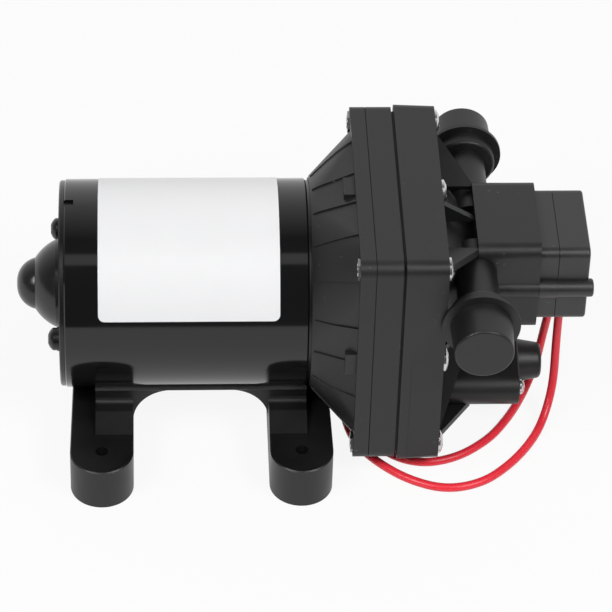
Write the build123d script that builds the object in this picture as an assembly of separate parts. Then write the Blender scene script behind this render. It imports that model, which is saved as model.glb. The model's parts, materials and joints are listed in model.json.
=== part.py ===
from build123d import *
import math
import os

# Caravan water pump: a brushed motor in a steel can drives a wobble plate, which works three
# rubber diaphragm chambers under a moulded head with two threaded ports, a pressure switch and
# a spring loaded bypass. Millimetres. +X runs from the motor's rear to the pressure switch,
# +Z is up. The origin is the centre of the four foot holes, on the underside of the feet.

# motor can and its place over the feet
AXIS_HEIGHT = 55.5
MOTOR_RADIUS = 38.0
CAN_WALL = 1.8
CAN_LENGTH = 87.6
CAN_REAR_X = -49.3
CAN_EDGE = 0.6
NOTCH_LENGTH = 3.5
NOTCH_WIDTH = 3.6
OVERRUN = 1.0
RUNNING_GAP = 0.05
SEAT_GAP = 0.1
LOOSE_GAP = 0.3

# mounting base
HOLE_SPACING_X = 72.6
HOLE_SPACING_Y = 98.0
FOOT_RADIUS = 11.5
FOOT_THICKNESS = 17.2
FOOT_HOLE_RADIUS = 2.3
FOOT_EDGE = 0.4
FOOT_WAIST = 0.9
WEB_WIDTH = 13.8
ARCH_TOP_DROP = 30.2
ARCH_RADIUS = 14.3
ARCH_SET_BACK = 0.8
SADDLE_TOP_HALF = 26.2
SADDLE_FOOT_HALF = 41.0
SADDLE_SHELF_HALF = 31.5
SADDLE_SHELF_RISE = 3.6
SADDLE_TOE_RISE = 0.6
SADDLE_ROUND = 2.2
CRADLE_THICKNESS = 1.5
CRADLE_HALF_ANGLE = 46.0

# rear end of the motor
END_CAP_THICKNESS = 1.75
END_CAP_STEP = 0.5
END_CAP_SPIGOT = 6.0
END_CAP_EDGE = 0.5
BEARING_BOSS_RADIUS = 9.8
BEARING_BOSS_LENGTH = 6.4
BEARING_RADIUS = 8.0
BEARING_WIDTH = 5.0
BEARING_RACE_SHARE = 0.28
BEARING_SHIELD_SINK = 0.4
BOOT_RADIUS = 16.0
BOOT_LENGTH = 15.8
BOOT_LIP = 1.2
BOOT_LIP_WIDTH = 1.6
BOOT_SHOULDER_RADIUS = 9.4
BOOT_SHOULDER_X = 9.2
BOOT_NOSE_RADIUS = 5.0
BOOT_NOSE_SHARE = 0.74
BOOT_BELL_SHARE = 0.46
SLEEVE_RADIUS = 2.5
SLEEVE_REACH = 17.6
SLEEVE_LEAN = 35.0
SLEEVE_X = (4.9, 9.2)
BOLT_OFFSET = 30.5
BOLT_RADIUS = 2.0
BOLT_BOSS_RADIUS = 5.2
BOLT_BOSS_LENGTH = 8.0
BOLT_HEAD_RADIUS = 4.1
BOLT_HEAD_HEIGHT = 3.2
WASHER_RADIUS = 4.4
WASHER_THICKNESS = 0.8
CROSS_SLOT_WIDTH = 1.1
CROSS_SLOT_DEPTH = 1.6
CROSS_SLOT_LENGTH_SHARE = 0.62
CROSS_SLOT_DEPTH_SHARE = 0.6

# rotor and stator
SHAFT_RADIUS = 4.0
CORE_RADIUS = 24.6
CORE_LENGTH = 40.0
CORE_REAR_X = -22.0
SLOT_COUNT = 12
SLOT_RADIUS = 2.7
SLOT_DEPTH_RADIUS = 18.6
SLOT_MOUTH = 1.8
WINDING_LENGTH = 8.5
WINDING_RADIUS = 21.4
WINDING_BORE = 9.0
WINDING_ROUND = 3.4
WINDING_NOTCH = 1.9
COMMUTATOR_RADIUS = 11.0
COMMUTATOR_LENGTH = 11.5
COMMUTATOR_GROOVE = 0.6
COMMUTATOR_GROOVE_DEPTH = 1.0
AIR_GAP = 0.8
MAGNET_LENGTH = 46.0
MAGNET_ANGLE = 62.0
BRUSH_WIDTH = 5.0
BRUSH_LENGTH_X = 6.5
BRUSH_HEIGHT = 10.0
BRUSH_GAP = 0.06
BRUSH_SPRING_RADIUS = 1.9
BRUSH_SPRING_WIRE = 0.35
BRUSH_SPRING_TURNS = 5
BRUSH_BOX_WALL = 1.0
BRUSH_BOX_HEIGHT = 18.0
BRUSH_CARD_RADIUS = 34.0
BRUSH_CARD_THICKNESS = 1.8
BRUSH_CARD_BORE = 14.0

# front plate, adapter cone and the drive inside it
FRONT_GAP = 1.0
FRONT_PLATE_RECESS = 0.8
FRONT_PLATE_SPIGOT = 4.0
CONE_LENGTH = 15.8
CONE_END_HALF = 44.6
CONE_END_CORNER = 19.0
CONE_WALL = 3.0
CONE_RIB_COUNT = 18
CONE_RIB_WIDTH = 0.7
CONE_RIB_HEIGHT = 0.6
FLANGE_HALF = 46.7
FLANGE_CORNER = 4.5
ADAPTER_FLANGE = 5.5
MIDDLE_THICKNESS = 9.6
MIDDLE_PARTING = 0.3
GASKET_THICKNESS = 1.0
GASKET_RECESS = 1.2
UPPER_FLANGE = 15.0
UPPER_PROUD = 0.6
UPPER_DRAFT = 0.4
STEP_DEPTH = 0.5
STEP_RISE = 4.2
STEP_START_SHARE = 0.22
SIDE_BOSS_LENGTH = 4.2
SIDE_BOSS_WIDTH = 9.5
SIDE_BOSS_HEIGHT = 4.6
SIDE_BOSS_INSET = 1.4
HEX_NUT_ACROSS = 7.0
HEX_NUT_THICKNESS = 3.2
NUT_SINK = 2.4
NUT_POCKET_SHARE = 0.6
CAM_RADIUS = 12.0
CAM_LENGTH = 11.0
CAM_FLAT = 5.0
JOURNAL_RADIUS = 7.5
JOURNAL_LENGTH = 8.5
TILT_DEGREES = 3.0
CAM_BEARING_RADIUS = 12.5
CAM_BEARING_WIDTH = 6.5
WOBBLE_HUB_RADIUS = 15.5
WOBBLE_THICKNESS = 6.0
WOBBLE_LOBE_OFFSET = 23.5
WOBBLE_LOBE_RADIUS = 7.5
WOBBLE_NECK_RADIUS = 4.6
WOBBLE_ARM_SHARE = 0.8
CHAMBER_COUNT = 3
CHAMBER_RADIUS = 12.6
CLAMP_RADIUS = 8.2
CLAMP_THICKNESS = 2.6
CLAMP_SCREW_HEAD_RADIUS = 3.4
CLAMP_SCREW_HEAD_HEIGHT = 1.7
CLAMP_SCREW_RADIUS = 1.7
CLAMP_SCREW_DEPTH = 7.0
ROLL_RADIUS = 1.5
ROLL_OVERLAP = 0.7

# head screws
SCREW_OFFSET = 41.5
SIDE_SCREW_OFFSET = 42.5
SCREW_RADIUS = 2.4
SCREW_HEAD_RADIUS = 4.4
SCREW_HEAD_HEIGHT = 1.9
SCREW_TIP = 0.3

# valves inside the head
VALVE_PLATE_RADIUS = 38.5
VALVE_PLATE_THICKNESS = 5.0
VALVE_PLATE_GAP = 3.6
INLET_VALVE_RADIUS = 5.6
INLET_VALVE_THICKNESS = 1.0
INLET_VALVE_OFFSET = 22.5
INLET_STEM_RADIUS = 1.6
INLET_BEAD_SHARE = 1.3
INLET_HOLE_RADIUS = 1.3
INLET_HOLE_COUNT = 5
INLET_HOLE_RING = 3.6
OUTLET_VALVE_RADIUS = 10.5
OUTLET_VALVE_THICKNESS = 1.2
OUTLET_HOLE_RADIUS = 1.5
OUTLET_HOLE_RING = 7.0
OUTLET_WALL_RADIUS = 13.0
OUTLET_WALL_THICKNESS = 1.8
HEAD_ROOF = 3.0
PLENUM_DEPTH = 1.8
PLENUM_RADIUS = 34.0

# head dome, switch tower and ports
DOME_BASE_HALF = 31.0
DOME_BASE_CORNER = 9.0
DOME_LENGTH = 13.8
DOME_TOP_SHARE = 0.5
TOWER_HALF = 20.3
TOWER_TOP = 32.1
TOWER_BOTTOM = -6.3
TOWER_END_X = 121.7
TOWER_CORNER = 4.4
RIB_THICKNESS = 2.6
RIB_END_GAP = 0.8
RIB_END_RISE = 1.0
PORT_X = 98.45
PORT_RISE = 20.6
PORT_NECK_RADIUS = 7.6
PORT_BORE_RADIUS = 5.2
GALLERY_SHARE = 0.8
GALLERY_OFFSET = 18.0
COLLAR_START = 41.3
COLLAR_RADIUS = 11.4
COLLAR_ROUND = 1.2
RING_START = 47.0
RING_RADIUS = 14.0
RING_THICKNESS = 1.5
SPIGOT_RADIUS = 10.3
SPIGOT_END = 61.0
CAP_WALL = 0.75
CAP_END = 63.0
CAP_ROUND = 0.9
CAP_DRAFT = 0.55
CAP_TRAVEL = 30.0

# pressure switch
SWITCH_INSET = 1.85
SWITCH_DROP = 2.9
SWITCH_LIFT = 2.85
SWITCH_CORNER = 3.2
SWITCH_BODY_LENGTH = 6.6
SWITCH_COVER_LENGTH = 11.4
SWITCH_WALL = 2.0
SWITCH_EDGE = 1.0
SWITCH_PARTING = 0.25
SWITCH_BOSS_RADIUS = 3.6
SWITCH_BOSS_DROP = 19.4
SWITCH_BOSS_INSET = 1.6
SWITCH_BOSS_PROUD = 1.8
SWITCH_SCREW_RADIUS = 1.3
SWITCH_SCREW_HEAD_RADIUS = 2.5
SWITCH_SCREW_SINK = 1.4
SHORT_SCREW_HOLD = 4.8
SHORT_SCREW_HOLE = 6.0
SENSE_RISE = 18.0
SENSE_BORE_RADIUS = 2.2
SWITCH_DIAPHRAGM_RADIUS = 9.0
SWITCH_DIAPHRAGM_THICKNESS = 0.8
PLUNGER_RADIUS = 6.0
PLUNGER_THICKNESS = 1.8
PLUNGER_GUIDE_RADIUS = 2.2
PLUNGER_ARM_WIDTH = 4.0
PLUNGER_TRAVEL = 0.8
SWITCH_SPRING_RADIUS = 3.6
SWITCH_SPRING_WIRE = 0.7
SWITCH_SPRING_TURNS = 4
MICRO_LENGTH_Y = 20.0
MICRO_HEIGHT = 6.4
MICRO_DEPTH = 8.4
MICRO_RISE = 0.0
MICRO_BUTTON_HEIGHT = 1.2
MICRO_BUTTON_WIDTH = 1.6
MICRO_BUTTON_LENGTH = 3.0
ADJUSTER_RADIUS = 3.4
ADJUSTER_LENGTH = 4.2
ADJUSTER_HEX = 2.5
ADJUSTER_HEX_DEPTH = 1.8

# bypass
BYPASS_DROP = 39.6
BYPASS_BARREL_RADIUS = 10.0
BYPASS_BORE_RADIUS = 5.6
BYPASS_END_X = 115.1
BYPASS_EAR_OFFSET = 14.4
BYPASS_EAR_RADIUS = 6.6
BYPASS_PLATE = 3.0
BYPASS_PLATE_RIM = 0.5
BYPASS_SCREW_RADIUS = 1.5
BYPASS_SCREW_HEAD_RADIUS = 3.0
BYPASS_SCREW_HEAD_HEIGHT = 2.2
KNOB_RADIUS = 8.1
KNOB_TIP_RADIUS = 6.5
KNOB_LENGTH = 9.2
KNOB_ROUND = 1.8
KNOB_WALL = 1.6
POPPET_RADIUS = 4.6
POPPET_THICKNESS = 2.0
POPPET_STEM_RADIUS = 1.6
POPPET_STEM_LENGTH = 5.0
POPPET_SEAT_X = 100.0
POPPET_TRAVEL = 2.0
BYPASS_SPRING_RADIUS = 3.4
BYPASS_SPRING_WIRE = 0.6
BYPASS_SPRING_TURNS = 5

# paper label on the can
LABEL_THICKNESS = 0.15
LABEL_REAR_X = -37.0
LABEL_LENGTH = 64.8
LABEL_LOW_ANGLE = 19.5
LABEL_HIGH_ANGLE = 172.0
LABEL_CORNER = 2.4

# red wires, dropping from the switch, along the floor, round the far feet and up to the boot
WIRE_RADIUS = 1.6
WIRE_FLOOR = 1.7
ARC_SHARE = 0.45
WIRE_LEAD = 11.0
SWITCH_WIRE_A = (131.2, 9.6)
SWITCH_WIRE_B = (132.0, -5.0)
WIRE_A_ROUTE = [
    (131.6, 11.4, 29.0),
    (130.4, 13.0, 15.4),
    (128.3, 8.5, 6.7),
    (124.7, 0.7, 1.7),
    (119.6, -10.4, 1.7),
    (113.6, -19.8, 1.7),
    (106.5, -28.4, 1.7),
    (94.5, -37.6, 1.7),
    (81.0, -40.8, 1.7),
    (69.0, -35.8, 1.7),
    (60.8, -24.0, 1.7),
    (57.6, -6.0, 1.7),
    (58.2, 16.0, 1.7),
    (57.8, 38.0, 1.7),
    (57.2, 57.4, 1.7),
    (45.0, 70.4, 1.7),
    (22.0, 72.0, 1.7),
    (-4.0, 71.0, 1.7),
    (-28.0, 71.8, 1.7),
    (-47.0, 69.0, 1.7),
    (-58.4, 57.2, 2.4),
    (-62.0, 44.0, 8.6),
    (-61.4, 31.0, 19.0),
]
WIRE_B_ROUTE = [
    (132.6, -5.8, 29.0),
    (131.9, -9.5, 15.4),
    (129.9, -14.1, 6.7),
    (126.3, -22.0, 1.7),
    (120.8, -32.2, 1.7),
    (113.2, -42.0, 1.7),
    (103.0, -51.0, 1.7),
    (89.5, -54.4, 1.7),
    (76.5, -49.6, 1.7),
    (65.5, -40.6, 1.7),
    (57.0, -29.6, 1.7),
    (53.2, -14.0, 1.7),
    (53.6, 8.0, 1.7),
    (53.0, 32.0, 1.7),
    (53.2, 55.4, 1.7),
    (43.0, 66.0, 1.7),
    (21.0, 67.0, 1.7),
    (-4.0, 66.2, 1.7),
    (-26.0, 67.0, 1.7),
    (-43.0, 65.6, 1.7),
    (-53.0, 55.6, 2.4),
    (-57.2, 43.2, 8.6),
    (-57.0, 30.4, 19.0),
]

# places along the motor axis, worked out from the lengths above
CAN_FRONT_X = CAN_REAR_X + CAN_LENGTH
CAP_REAR_X = CAN_REAR_X - END_CAP_THICKNESS
CONE_X = CAN_FRONT_X + FRONT_GAP
ADAPTER_X = CONE_X + CONE_LENGTH
MIDDLE_X = ADAPTER_X + ADAPTER_FLANGE
GASKET_X = MIDDLE_X + MIDDLE_THICKNESS
UPPER_X = GASKET_X + GASKET_THICKNESS
DOME_X = UPPER_X + UPPER_FLANGE
TOWER_X = DOME_X + DOME_LENGTH
SWITCH_SPLIT_X = TOWER_END_X + SWITCH_BODY_LENGTH
SWITCH_END_X = SWITCH_SPLIT_X + SWITCH_COVER_LENGTH
SWITCH_HALF = TOWER_HALF - SWITCH_INSET
SWITCH_TOP = TOWER_TOP - SWITCH_DROP
SWITCH_BOTTOM = TOWER_BOTTOM + SWITCH_LIFT
SHAFT_REAR_X = CAP_REAR_X - BEARING_WIDTH - LOOSE_GAP
FRONT_BEARING_X = CAN_FRONT_X - BEARING_WIDTH
CAM_X = CONE_X + SEAT_GAP + LOOSE_GAP
JOURNAL_X = CAM_X + CAM_LENGTH
PLATE_CENTRE_X = JOURNAL_X + JOURNAL_LENGTH / 2
SHAFT_FRONT_X = JOURNAL_X
BYPASS_KNOB_X = BYPASS_END_X + BYPASS_PLATE


def disc(x0, x1, radius, y=0.0, z=0.0):
    """Cylinder along X between two stations, at an offset from the motor axis."""
    face = Plane.YZ.offset(x0) * Pos(y, z + AXIS_HEIGHT) * Circle(radius)
    return extrude(face, amount=x1 - x0)


def ring(x0, x1, outer, inner, y=0.0, z=0.0):
    body = disc(x0, x1, outer, y, z)
    return body - disc(x0 - OVERRUN, x1 + OVERRUN, inner, y, z)


def block(x0, x1, y0, y1, z0, z1, corner=0.0):
    """Bar along X with its four long edges rounded, heights measured from the motor axis."""
    width = y1 - y0
    height = z1 - z0
    shape = RectangleRounded(width, height, corner) if corner else Rectangle(width, height)
    centre = Pos((y0 + y1) / 2, (z0 + z1) / 2 + AXIS_HEIGHT)
    return extrude(Plane.YZ.offset(x0) * centre * shape, amount=x1 - x0)


def revolve_about_axis(face, y=0.0, z=0.0):
    """Revolve a face drawn with X along the axis and its height as the radius."""
    turned = revolve(Plane.XZ * face, axis=Axis.X)
    return Pos(0, y, z + AXIS_HEIGHT) * turned


def around_axis(count, start=0.0):
    """Rotations about the motor axis, evenly spaced."""
    places = []
    for index in range(count):
        turn = Rot(X=start + index * 360 / count)
        places.append(Pos(0, 0, AXIS_HEIGHT) * turn * Pos(0, 0, -AXIS_HEIGHT))
    return places


def helix_spring(x0, x1, radius, wire, turns, y=0.0, z=0.0):
    """Coil spring along X, its ends inside the two stations by half a wire."""
    pitch = (x1 - x0 - 2 * wire) / turns
    path = Helix(pitch=pitch, height=x1 - x0 - 2 * wire, radius=radius)
    start = path @ 0
    section = Plane(origin=start, z_dir=path % 0) * Circle(wire / 2)
    coil = sweep(section, path=path, is_frenet=True)
    return Pos(x0 + wire, y, z + AXIS_HEIGHT) * Rot(Y=90) * coil


def pan_head(x_seat, radius, height, direction, y, z):
    """Domed screw head standing on a seat, facing along X by the sign of direction."""
    rim_share = 0.45
    edge = x_seat + direction * height * rim_share
    top = x_seat + direction * height
    profile = Polyline((x_seat, 0), (x_seat, radius), (edge, radius))
    crown = ThreePointArc((edge, radius), crown_point(edge, top, radius), (top, 0))
    close = Line((top, 0), (x_seat, 0))
    head = revolve_about_axis(make_face(profile + crown + close), y, z)
    slot_half = radius * CROSS_SLOT_LENGTH_SHARE
    floor = top - direction * min(CROSS_SLOT_DEPTH, height * CROSS_SLOT_DEPTH_SHARE)
    low = min(floor, top + direction * OVERRUN)
    high = max(floor, top + direction * OVERRUN)
    half = CROSS_SLOT_WIDTH / 2
    cross = block(low, high, y - slot_half, y + slot_half, z - half, z + half)
    cross += block(low, high, y - half, y + half, z - slot_half, z + slot_half)
    return head - cross


def crown_point(edge, top, radius):
    """Middle of the crown's arc: most of the rise is already reached at this radius."""
    rise_share = 0.72
    radius_share = 0.68
    return (edge + (top - edge) * rise_share, radius * radius_share)


def flange_outline(x, half, corner):
    return Plane.YZ.offset(x) * Pos(0, AXIS_HEIGHT) * RectangleRounded(2 * half, 2 * half, corner)


def screw_places():
    """Four corner screws and three at the middles of the sides; the bypass takes the fourth place."""
    corners = []
    sides = [(0.0, SIDE_SCREW_OFFSET)]
    for sign in (-1, 1):
        corners.append((sign * SCREW_OFFSET, SCREW_OFFSET))
        corners.append((sign * SCREW_OFFSET, -SCREW_OFFSET))
        sides.append((sign * SIDE_SCREW_OFFSET, 0.0))
    return corners, sides


def screw_holes(x0, x1, radius):
    corners, sides = screw_places()
    holes = Part()
    for y, z in corners + sides:
        holes += disc(x0, x1, radius, y, z)
    return holes


def chamber_places(start=90.0):
    """Centres of the three chambers, one at the top."""
    places = []
    for index in range(CHAMBER_COUNT):
        angle = math.radians(start + index * 360 / CHAMBER_COUNT)
        places.append((WOBBLE_LOBE_OFFSET * math.cos(angle), WOBBLE_LOBE_OFFSET * math.sin(angle)))
    return places


def make_motor_can():
    can = ring(CAN_REAR_X, CAN_FRONT_X, MOTOR_RADIUS, MOTOR_RADIUS - CAN_WALL)
    outer = [e for e in can.edges().filter_by(GeomType.CIRCLE) if e.radius > MOTOR_RADIUS - CAN_WALL / 2]
    can = chamfer(outer, CAN_EDGE)
    notch = block(
        CAN_REAR_X - OVERRUN, CAN_REAR_X + NOTCH_LENGTH, -NOTCH_WIDTH / 2, NOTCH_WIDTH / 2,
        MOTOR_RADIUS - 2 * CAN_WALL, MOTOR_RADIUS + OVERRUN)
    return can - notch


def make_label():
    """Paper label wrapped round the top of the can, with rounded corners low on the near side."""
    inner = MOTOR_RADIUS + RUNNING_GAP
    outer = inner + LABEL_THICKNESS
    sheet = ring(LABEL_REAR_X, LABEL_REAR_X + LABEL_LENGTH, outer, inner)
    reach = 2 * MOTOR_RADIUS
    low = math.radians(180 - LABEL_LOW_ANGLE)
    high = math.radians(180 - LABEL_HIGH_ANGLE)
    corners = [
        (0, 0),
        (reach * math.cos(low), reach * math.sin(low)),
        (-reach, reach),
        (reach, reach),
        (reach * math.cos(high), reach * math.sin(high)),
    ]
    wedge_face = make_face(Polyline(*corners, close=True))
    wedge = extrude(Plane.YZ.offset(LABEL_REAR_X - OVERRUN) * Pos(0, AXIS_HEIGHT) * wedge_face,
                    amount=LABEL_LENGTH + 2 * OVERRUN)
    sheet = sheet & wedge
    near_end = [
        e for e in sheet.edges()
        if e.length < 2 * LABEL_THICKNESS and e.center().Y < -MOTOR_RADIUS / 2
    ]
    return fillet(near_end, LABEL_CORNER)


def make_mounting_base():
    """Four foot pads on two arched webs under a cradle that follows the can."""
    foot_top = FOOT_THICKNESS
    web_outer = HOLE_SPACING_X / 2 - FOOT_RADIUS + WEB_WIDTH
    arch_half = HOLE_SPACING_X / 2 - FOOT_RADIUS
    base = Part()
    outer = HOLE_SPACING_X / 2 + FOOT_RADIUS
    for side in (-1, 1):
        outline = Pos(side * HOLE_SPACING_X / 2, 0) * SlotCenterToCenter(HOLE_SPACING_Y, 2 * FOOT_RADIUS, rotation=90)
        near = side * (outer - FOOT_WAIST)
        beyond = side * (outer + OVERRUN)
        reach = HOLE_SPACING_Y / 2
        waist = Polyline((side * outer, -reach), (near, 0), (side * outer, reach), (beyond, reach), (beyond, -reach),
                         close=True)
        bar = extrude(outline - make_face(waist), amount=foot_top)
        base += chamfer(bar.faces().sort_by(Axis.Z)[-1].edges(), FOOT_EDGE)
    # webs: an arch seen from the side, cut from a stepped section seen from the end
    arch_top = AXIS_HEIGHT - ARCH_TOP_DROP
    side_view = Rectangle(2 * web_outer, AXIS_HEIGHT, align=(Align.CENTER, Align.MIN))
    opening = Rectangle(2 * arch_half, arch_top + OVERRUN, align=(Align.CENTER, Align.MIN))
    opening = Pos(0, -OVERRUN) * opening
    opening = fillet(opening.vertices().group_by(Axis.Y)[-1], ARCH_RADIUS)
    webs = extrude(Plane.XZ * (side_view - opening), amount=SADDLE_FOOT_HALF, both=True)
    shelf = foot_top + SADDLE_SHELF_RISE
    toe = foot_top + SADDLE_TOE_RISE
    half_section = FilletPolyline(
        (SADDLE_TOP_HALF, AXIS_HEIGHT), (SADDLE_TOP_HALF, shelf), (SADDLE_SHELF_HALF, shelf),
        (SADDLE_FOOT_HALF, toe), radius=SADDLE_ROUND)
    close = Polyline((SADDLE_FOOT_HALF, toe), (SADDLE_FOOT_HALF, 0), (0, 0), (0, AXIS_HEIGHT),
                     (SADDLE_TOP_HALF, AXIS_HEIGHT))
    half_face = make_face(half_section + close)
    section = half_face + mirror(half_face, Plane.YZ)
    webs = webs & extrude(Plane.YZ * section, amount=web_outer, both=True)
    # between the legs the arch stands a little behind their faces
    face = SADDLE_TOP_HALF - ARCH_SET_BACK
    beyond = SADDLE_FOOT_HALF + OVERRUN
    for side in (-1, 1):
        webs -= Pos(0, side * (face + beyond) / 2, 0) * Box(2 * arch_half, beyond - face, 2 * AXIS_HEIGHT)
    base += webs
    # thin cradle joining the webs under the can
    cradle = ring(-web_outer, web_outer, MOTOR_RADIUS + CRADLE_THICKNESS, MOTOR_RADIUS)
    reach = 2 * MOTOR_RADIUS
    spread = reach * math.tan(math.radians(CRADLE_HALF_ANGLE))
    wedge_face = make_face(Polyline((0, 0), (-spread, -reach), (spread, -reach), close=True))
    wedge = extrude(Plane.YZ * Pos(0, AXIS_HEIGHT) * wedge_face, amount=web_outer, both=True)
    base += cradle & wedge
    base -= disc(-2 * web_outer, 2 * web_outer, MOTOR_RADIUS)
    base -= make_adapter_cone(-CONE_RIB_HEIGHT - LOOSE_GAP, CONE_X - LOOSE_GAP, ADAPTER_X)
    for x_sign in (-1, 1):
        for y_sign in (-1, 1):
            spot = Pos(x_sign * HOLE_SPACING_X / 2, y_sign * HOLE_SPACING_Y / 2, -OVERRUN)
            hole = Cylinder(FOOT_HOLE_RADIUS, foot_top + 2 * OVERRUN, align=(Align.CENTER, Align.CENTER, Align.MIN))
            base -= spot * hole
    return base


def make_rear_end_cap():
    cap = disc(CAP_REAR_X, CAN_REAR_X, MOTOR_RADIUS - END_CAP_STEP)
    cap = chamfer(cap.edges().group_by(Axis.X)[0], END_CAP_EDGE)
    cap += ring(CAN_REAR_X, CAN_REAR_X + END_CAP_SPIGOT, MOTOR_RADIUS - CAN_WALL - SEAT_GAP,
                MOTOR_RADIUS - 2 * CAN_WALL - SEAT_GAP)
    cap += disc(CAP_REAR_X - BEARING_BOSS_LENGTH, CAP_REAR_X, BEARING_BOSS_RADIUS)
    tab_top = MOTOR_RADIUS - CAN_EDGE
    tab_half = NOTCH_WIDTH / 2 - SEAT_GAP
    cap += block(CAN_REAR_X - CAN_EDGE, CAN_REAR_X + NOTCH_LENGTH - SEAT_GAP, -tab_half, tab_half,
                 MOTOR_RADIUS - 2 * CAN_WALL, tab_top - END_CAP_STEP)
    seat_x = CAP_REAR_X - BEARING_WIDTH
    cap -= disc(seat_x, CAN_REAR_X + OVERRUN, BEARING_RADIUS)
    cap -= disc(seat_x - 2 * LOOSE_GAP, seat_x + OVERRUN, SHAFT_RADIUS + LOOSE_GAP)
    for side in (-1, 1):
        cap -= disc(CAP_REAR_X - OVERRUN, CAN_REAR_X + END_CAP_SPIGOT + OVERRUN, BOLT_RADIUS + SEAT_GAP,
                    side * BOLT_OFFSET)
    return cap


def make_wire_boot():
    """Rubber boot over the rear bearing boss, with two sleeves that let the wires out below."""
    base_x = CAP_REAR_X
    shoulder_x = base_x - BOOT_SHOULDER_X
    tip_x = base_x - BOOT_LENGTH
    lip_x = base_x - BOOT_LIP_WIDTH
    nose_mid = (shoulder_x + (tip_x - shoulder_x) * BOOT_NOSE_SHARE, BOOT_NOSE_RADIUS + BOOT_LIP)
    bell_mid = (lip_x + (shoulder_x - lip_x) * BOOT_BELL_SHARE, (BOOT_RADIUS + BOOT_SHOULDER_RADIUS) / 2 + BOOT_LIP)
    outline = Polyline((base_x, 0), (base_x, BOOT_RADIUS), (lip_x, BOOT_RADIUS))
    bell = ThreePointArc((lip_x, BOOT_RADIUS), bell_mid, (shoulder_x, BOOT_SHOULDER_RADIUS))
    nose = ThreePointArc((shoulder_x, BOOT_SHOULDER_RADIUS), nose_mid, (tip_x, 0))
    close = Line((tip_x, 0), (base_x, 0))
    boot = revolve_about_axis(make_face(outline + bell + nose + close))
    for offset in SLEEVE_X:
        sleeve = Cylinder(SLEEVE_RADIUS, SLEEVE_REACH - BOOT_NOSE_RADIUS, align=(Align.CENTER, Align.CENTER, Align.MIN))
        sleeve = Pos(0, 0, -SLEEVE_REACH) * sleeve
        boot += Pos(base_x - offset, 0, AXIS_HEIGHT) * Rot(X=SLEEVE_LEAN) * sleeve
    boss_end = CAP_REAR_X - BEARING_BOSS_LENGTH - SEAT_GAP
    boot -= disc(boss_end, base_x + OVERRUN, BEARING_BOSS_RADIUS + SEAT_GAP)
    return boot


def make_through_bolts():
    """Two long bolts that clamp the rear cap, the can and the front plate together."""
    bolts = Part()
    seat = CAP_REAR_X - WASHER_THICKNESS
    for side in (-1, 1):
        y = side * BOLT_OFFSET
        bolt = pan_head(seat, BOLT_HEAD_RADIUS, BOLT_HEAD_HEIGHT, -1, y, 0.0)
        bolt += disc(seat, CAP_REAR_X, WASHER_RADIUS, y)
        bolt += disc(CAP_REAR_X, CONE_X + BOLT_BOSS_LENGTH - OVERRUN, BOLT_RADIUS, y)
        bolts += bolt
    return bolts


def make_ball_bearing(x0, width, outer, inner):
    """Shielded bearing: two races with the shields sunk a little between them."""
    race = (outer - inner) * BEARING_RACE_SHARE
    bearing = ring(x0, x0 + width, outer, outer - race)
    bearing += ring(x0, x0 + width, inner + race, inner)
    shield_start = x0 + BEARING_SHIELD_SINK
    shield_end = x0 + width - BEARING_SHIELD_SINK
    bearing += ring(shield_start, shield_end, outer - race / 2, inner + race / 2)
    return bearing


def make_front_plate():
    plate = disc(CAN_FRONT_X, CONE_X, MOTOR_RADIUS - FRONT_PLATE_RECESS)
    plate += ring(CAN_FRONT_X - FRONT_PLATE_SPIGOT, CAN_FRONT_X, MOTOR_RADIUS - CAN_WALL - SEAT_GAP,
                  MOTOR_RADIUS - 2 * CAN_WALL - SEAT_GAP)
    plate += disc(FRONT_BEARING_X - CAN_WALL, CAN_FRONT_X, BEARING_RADIUS + CAN_WALL)
    plate -= disc(FRONT_BEARING_X, CONE_X + OVERRUN, BEARING_RADIUS)
    plate -= disc(FRONT_BEARING_X - CAN_WALL - OVERRUN, FRONT_BEARING_X + OVERRUN, SHAFT_RADIUS + LOOSE_GAP)
    for side in (-1, 1):
        plate -= disc(CAN_FRONT_X - OVERRUN, CONE_X + OVERRUN, BOLT_RADIUS + SEAT_GAP, side * BOLT_OFFSET)
    return plate


def make_magnets():
    """Two arc magnets above and below the rotor, clear of the through bolts."""
    outer = MOTOR_RADIUS - CAN_WALL
    inner = CORE_RADIUS + AIR_GAP
    centre = CORE_REAR_X + CORE_LENGTH / 2
    shell = ring(centre - MAGNET_LENGTH / 2, centre + MAGNET_LENGTH / 2, outer, inner)
    spread = 2 * MOTOR_RADIUS * math.tan(math.radians(MAGNET_ANGLE))
    reach = 2 * MOTOR_RADIUS
    magnets = Part()
    for sign in (-1, 1):
        wedge = make_face(Polyline((0, 0), (-spread, sign * reach), (spread, sign * reach), close=True))
        solid = extrude(Plane.YZ.offset(centre - MAGNET_LENGTH) * Pos(0, AXIS_HEIGHT) * wedge,
                        amount=2 * MAGNET_LENGTH)
        magnets += shell & solid
    return magnets


def make_rotor_shaft():
    shaft = disc(SHAFT_REAR_X, SHAFT_FRONT_X, SHAFT_RADIUS)
    flat = block(CAM_X, SHAFT_FRONT_X + OVERRUN, -SHAFT_RADIUS, SHAFT_RADIUS,
                 SHAFT_RADIUS - CROSS_SLOT_WIDTH, SHAFT_RADIUS + OVERRUN)
    return shaft - flat


def slot_cutter(x0, x1):
    """One winding slot: a round bottom with a narrow mouth at the core's rim."""
    cutter = disc(x0, x1, SLOT_RADIUS, 0, SLOT_DEPTH_RADIUS)
    half = SLOT_MOUTH / 2
    return cutter + block(x0, x1, -half, half, SLOT_DEPTH_RADIUS, CORE_RADIUS + OVERRUN)


def make_armature_core():
    core = disc(CORE_REAR_X, CORE_REAR_X + CORE_LENGTH, CORE_RADIUS)
    cutter = slot_cutter(CORE_REAR_X - OVERRUN, CORE_REAR_X + CORE_LENGTH + OVERRUN)
    for place in around_axis(SLOT_COUNT):
        core -= place * cutter
    return core - disc(CORE_REAR_X - OVERRUN, CORE_REAR_X + CORE_LENGTH + OVERRUN, SHAFT_RADIUS)


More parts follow.
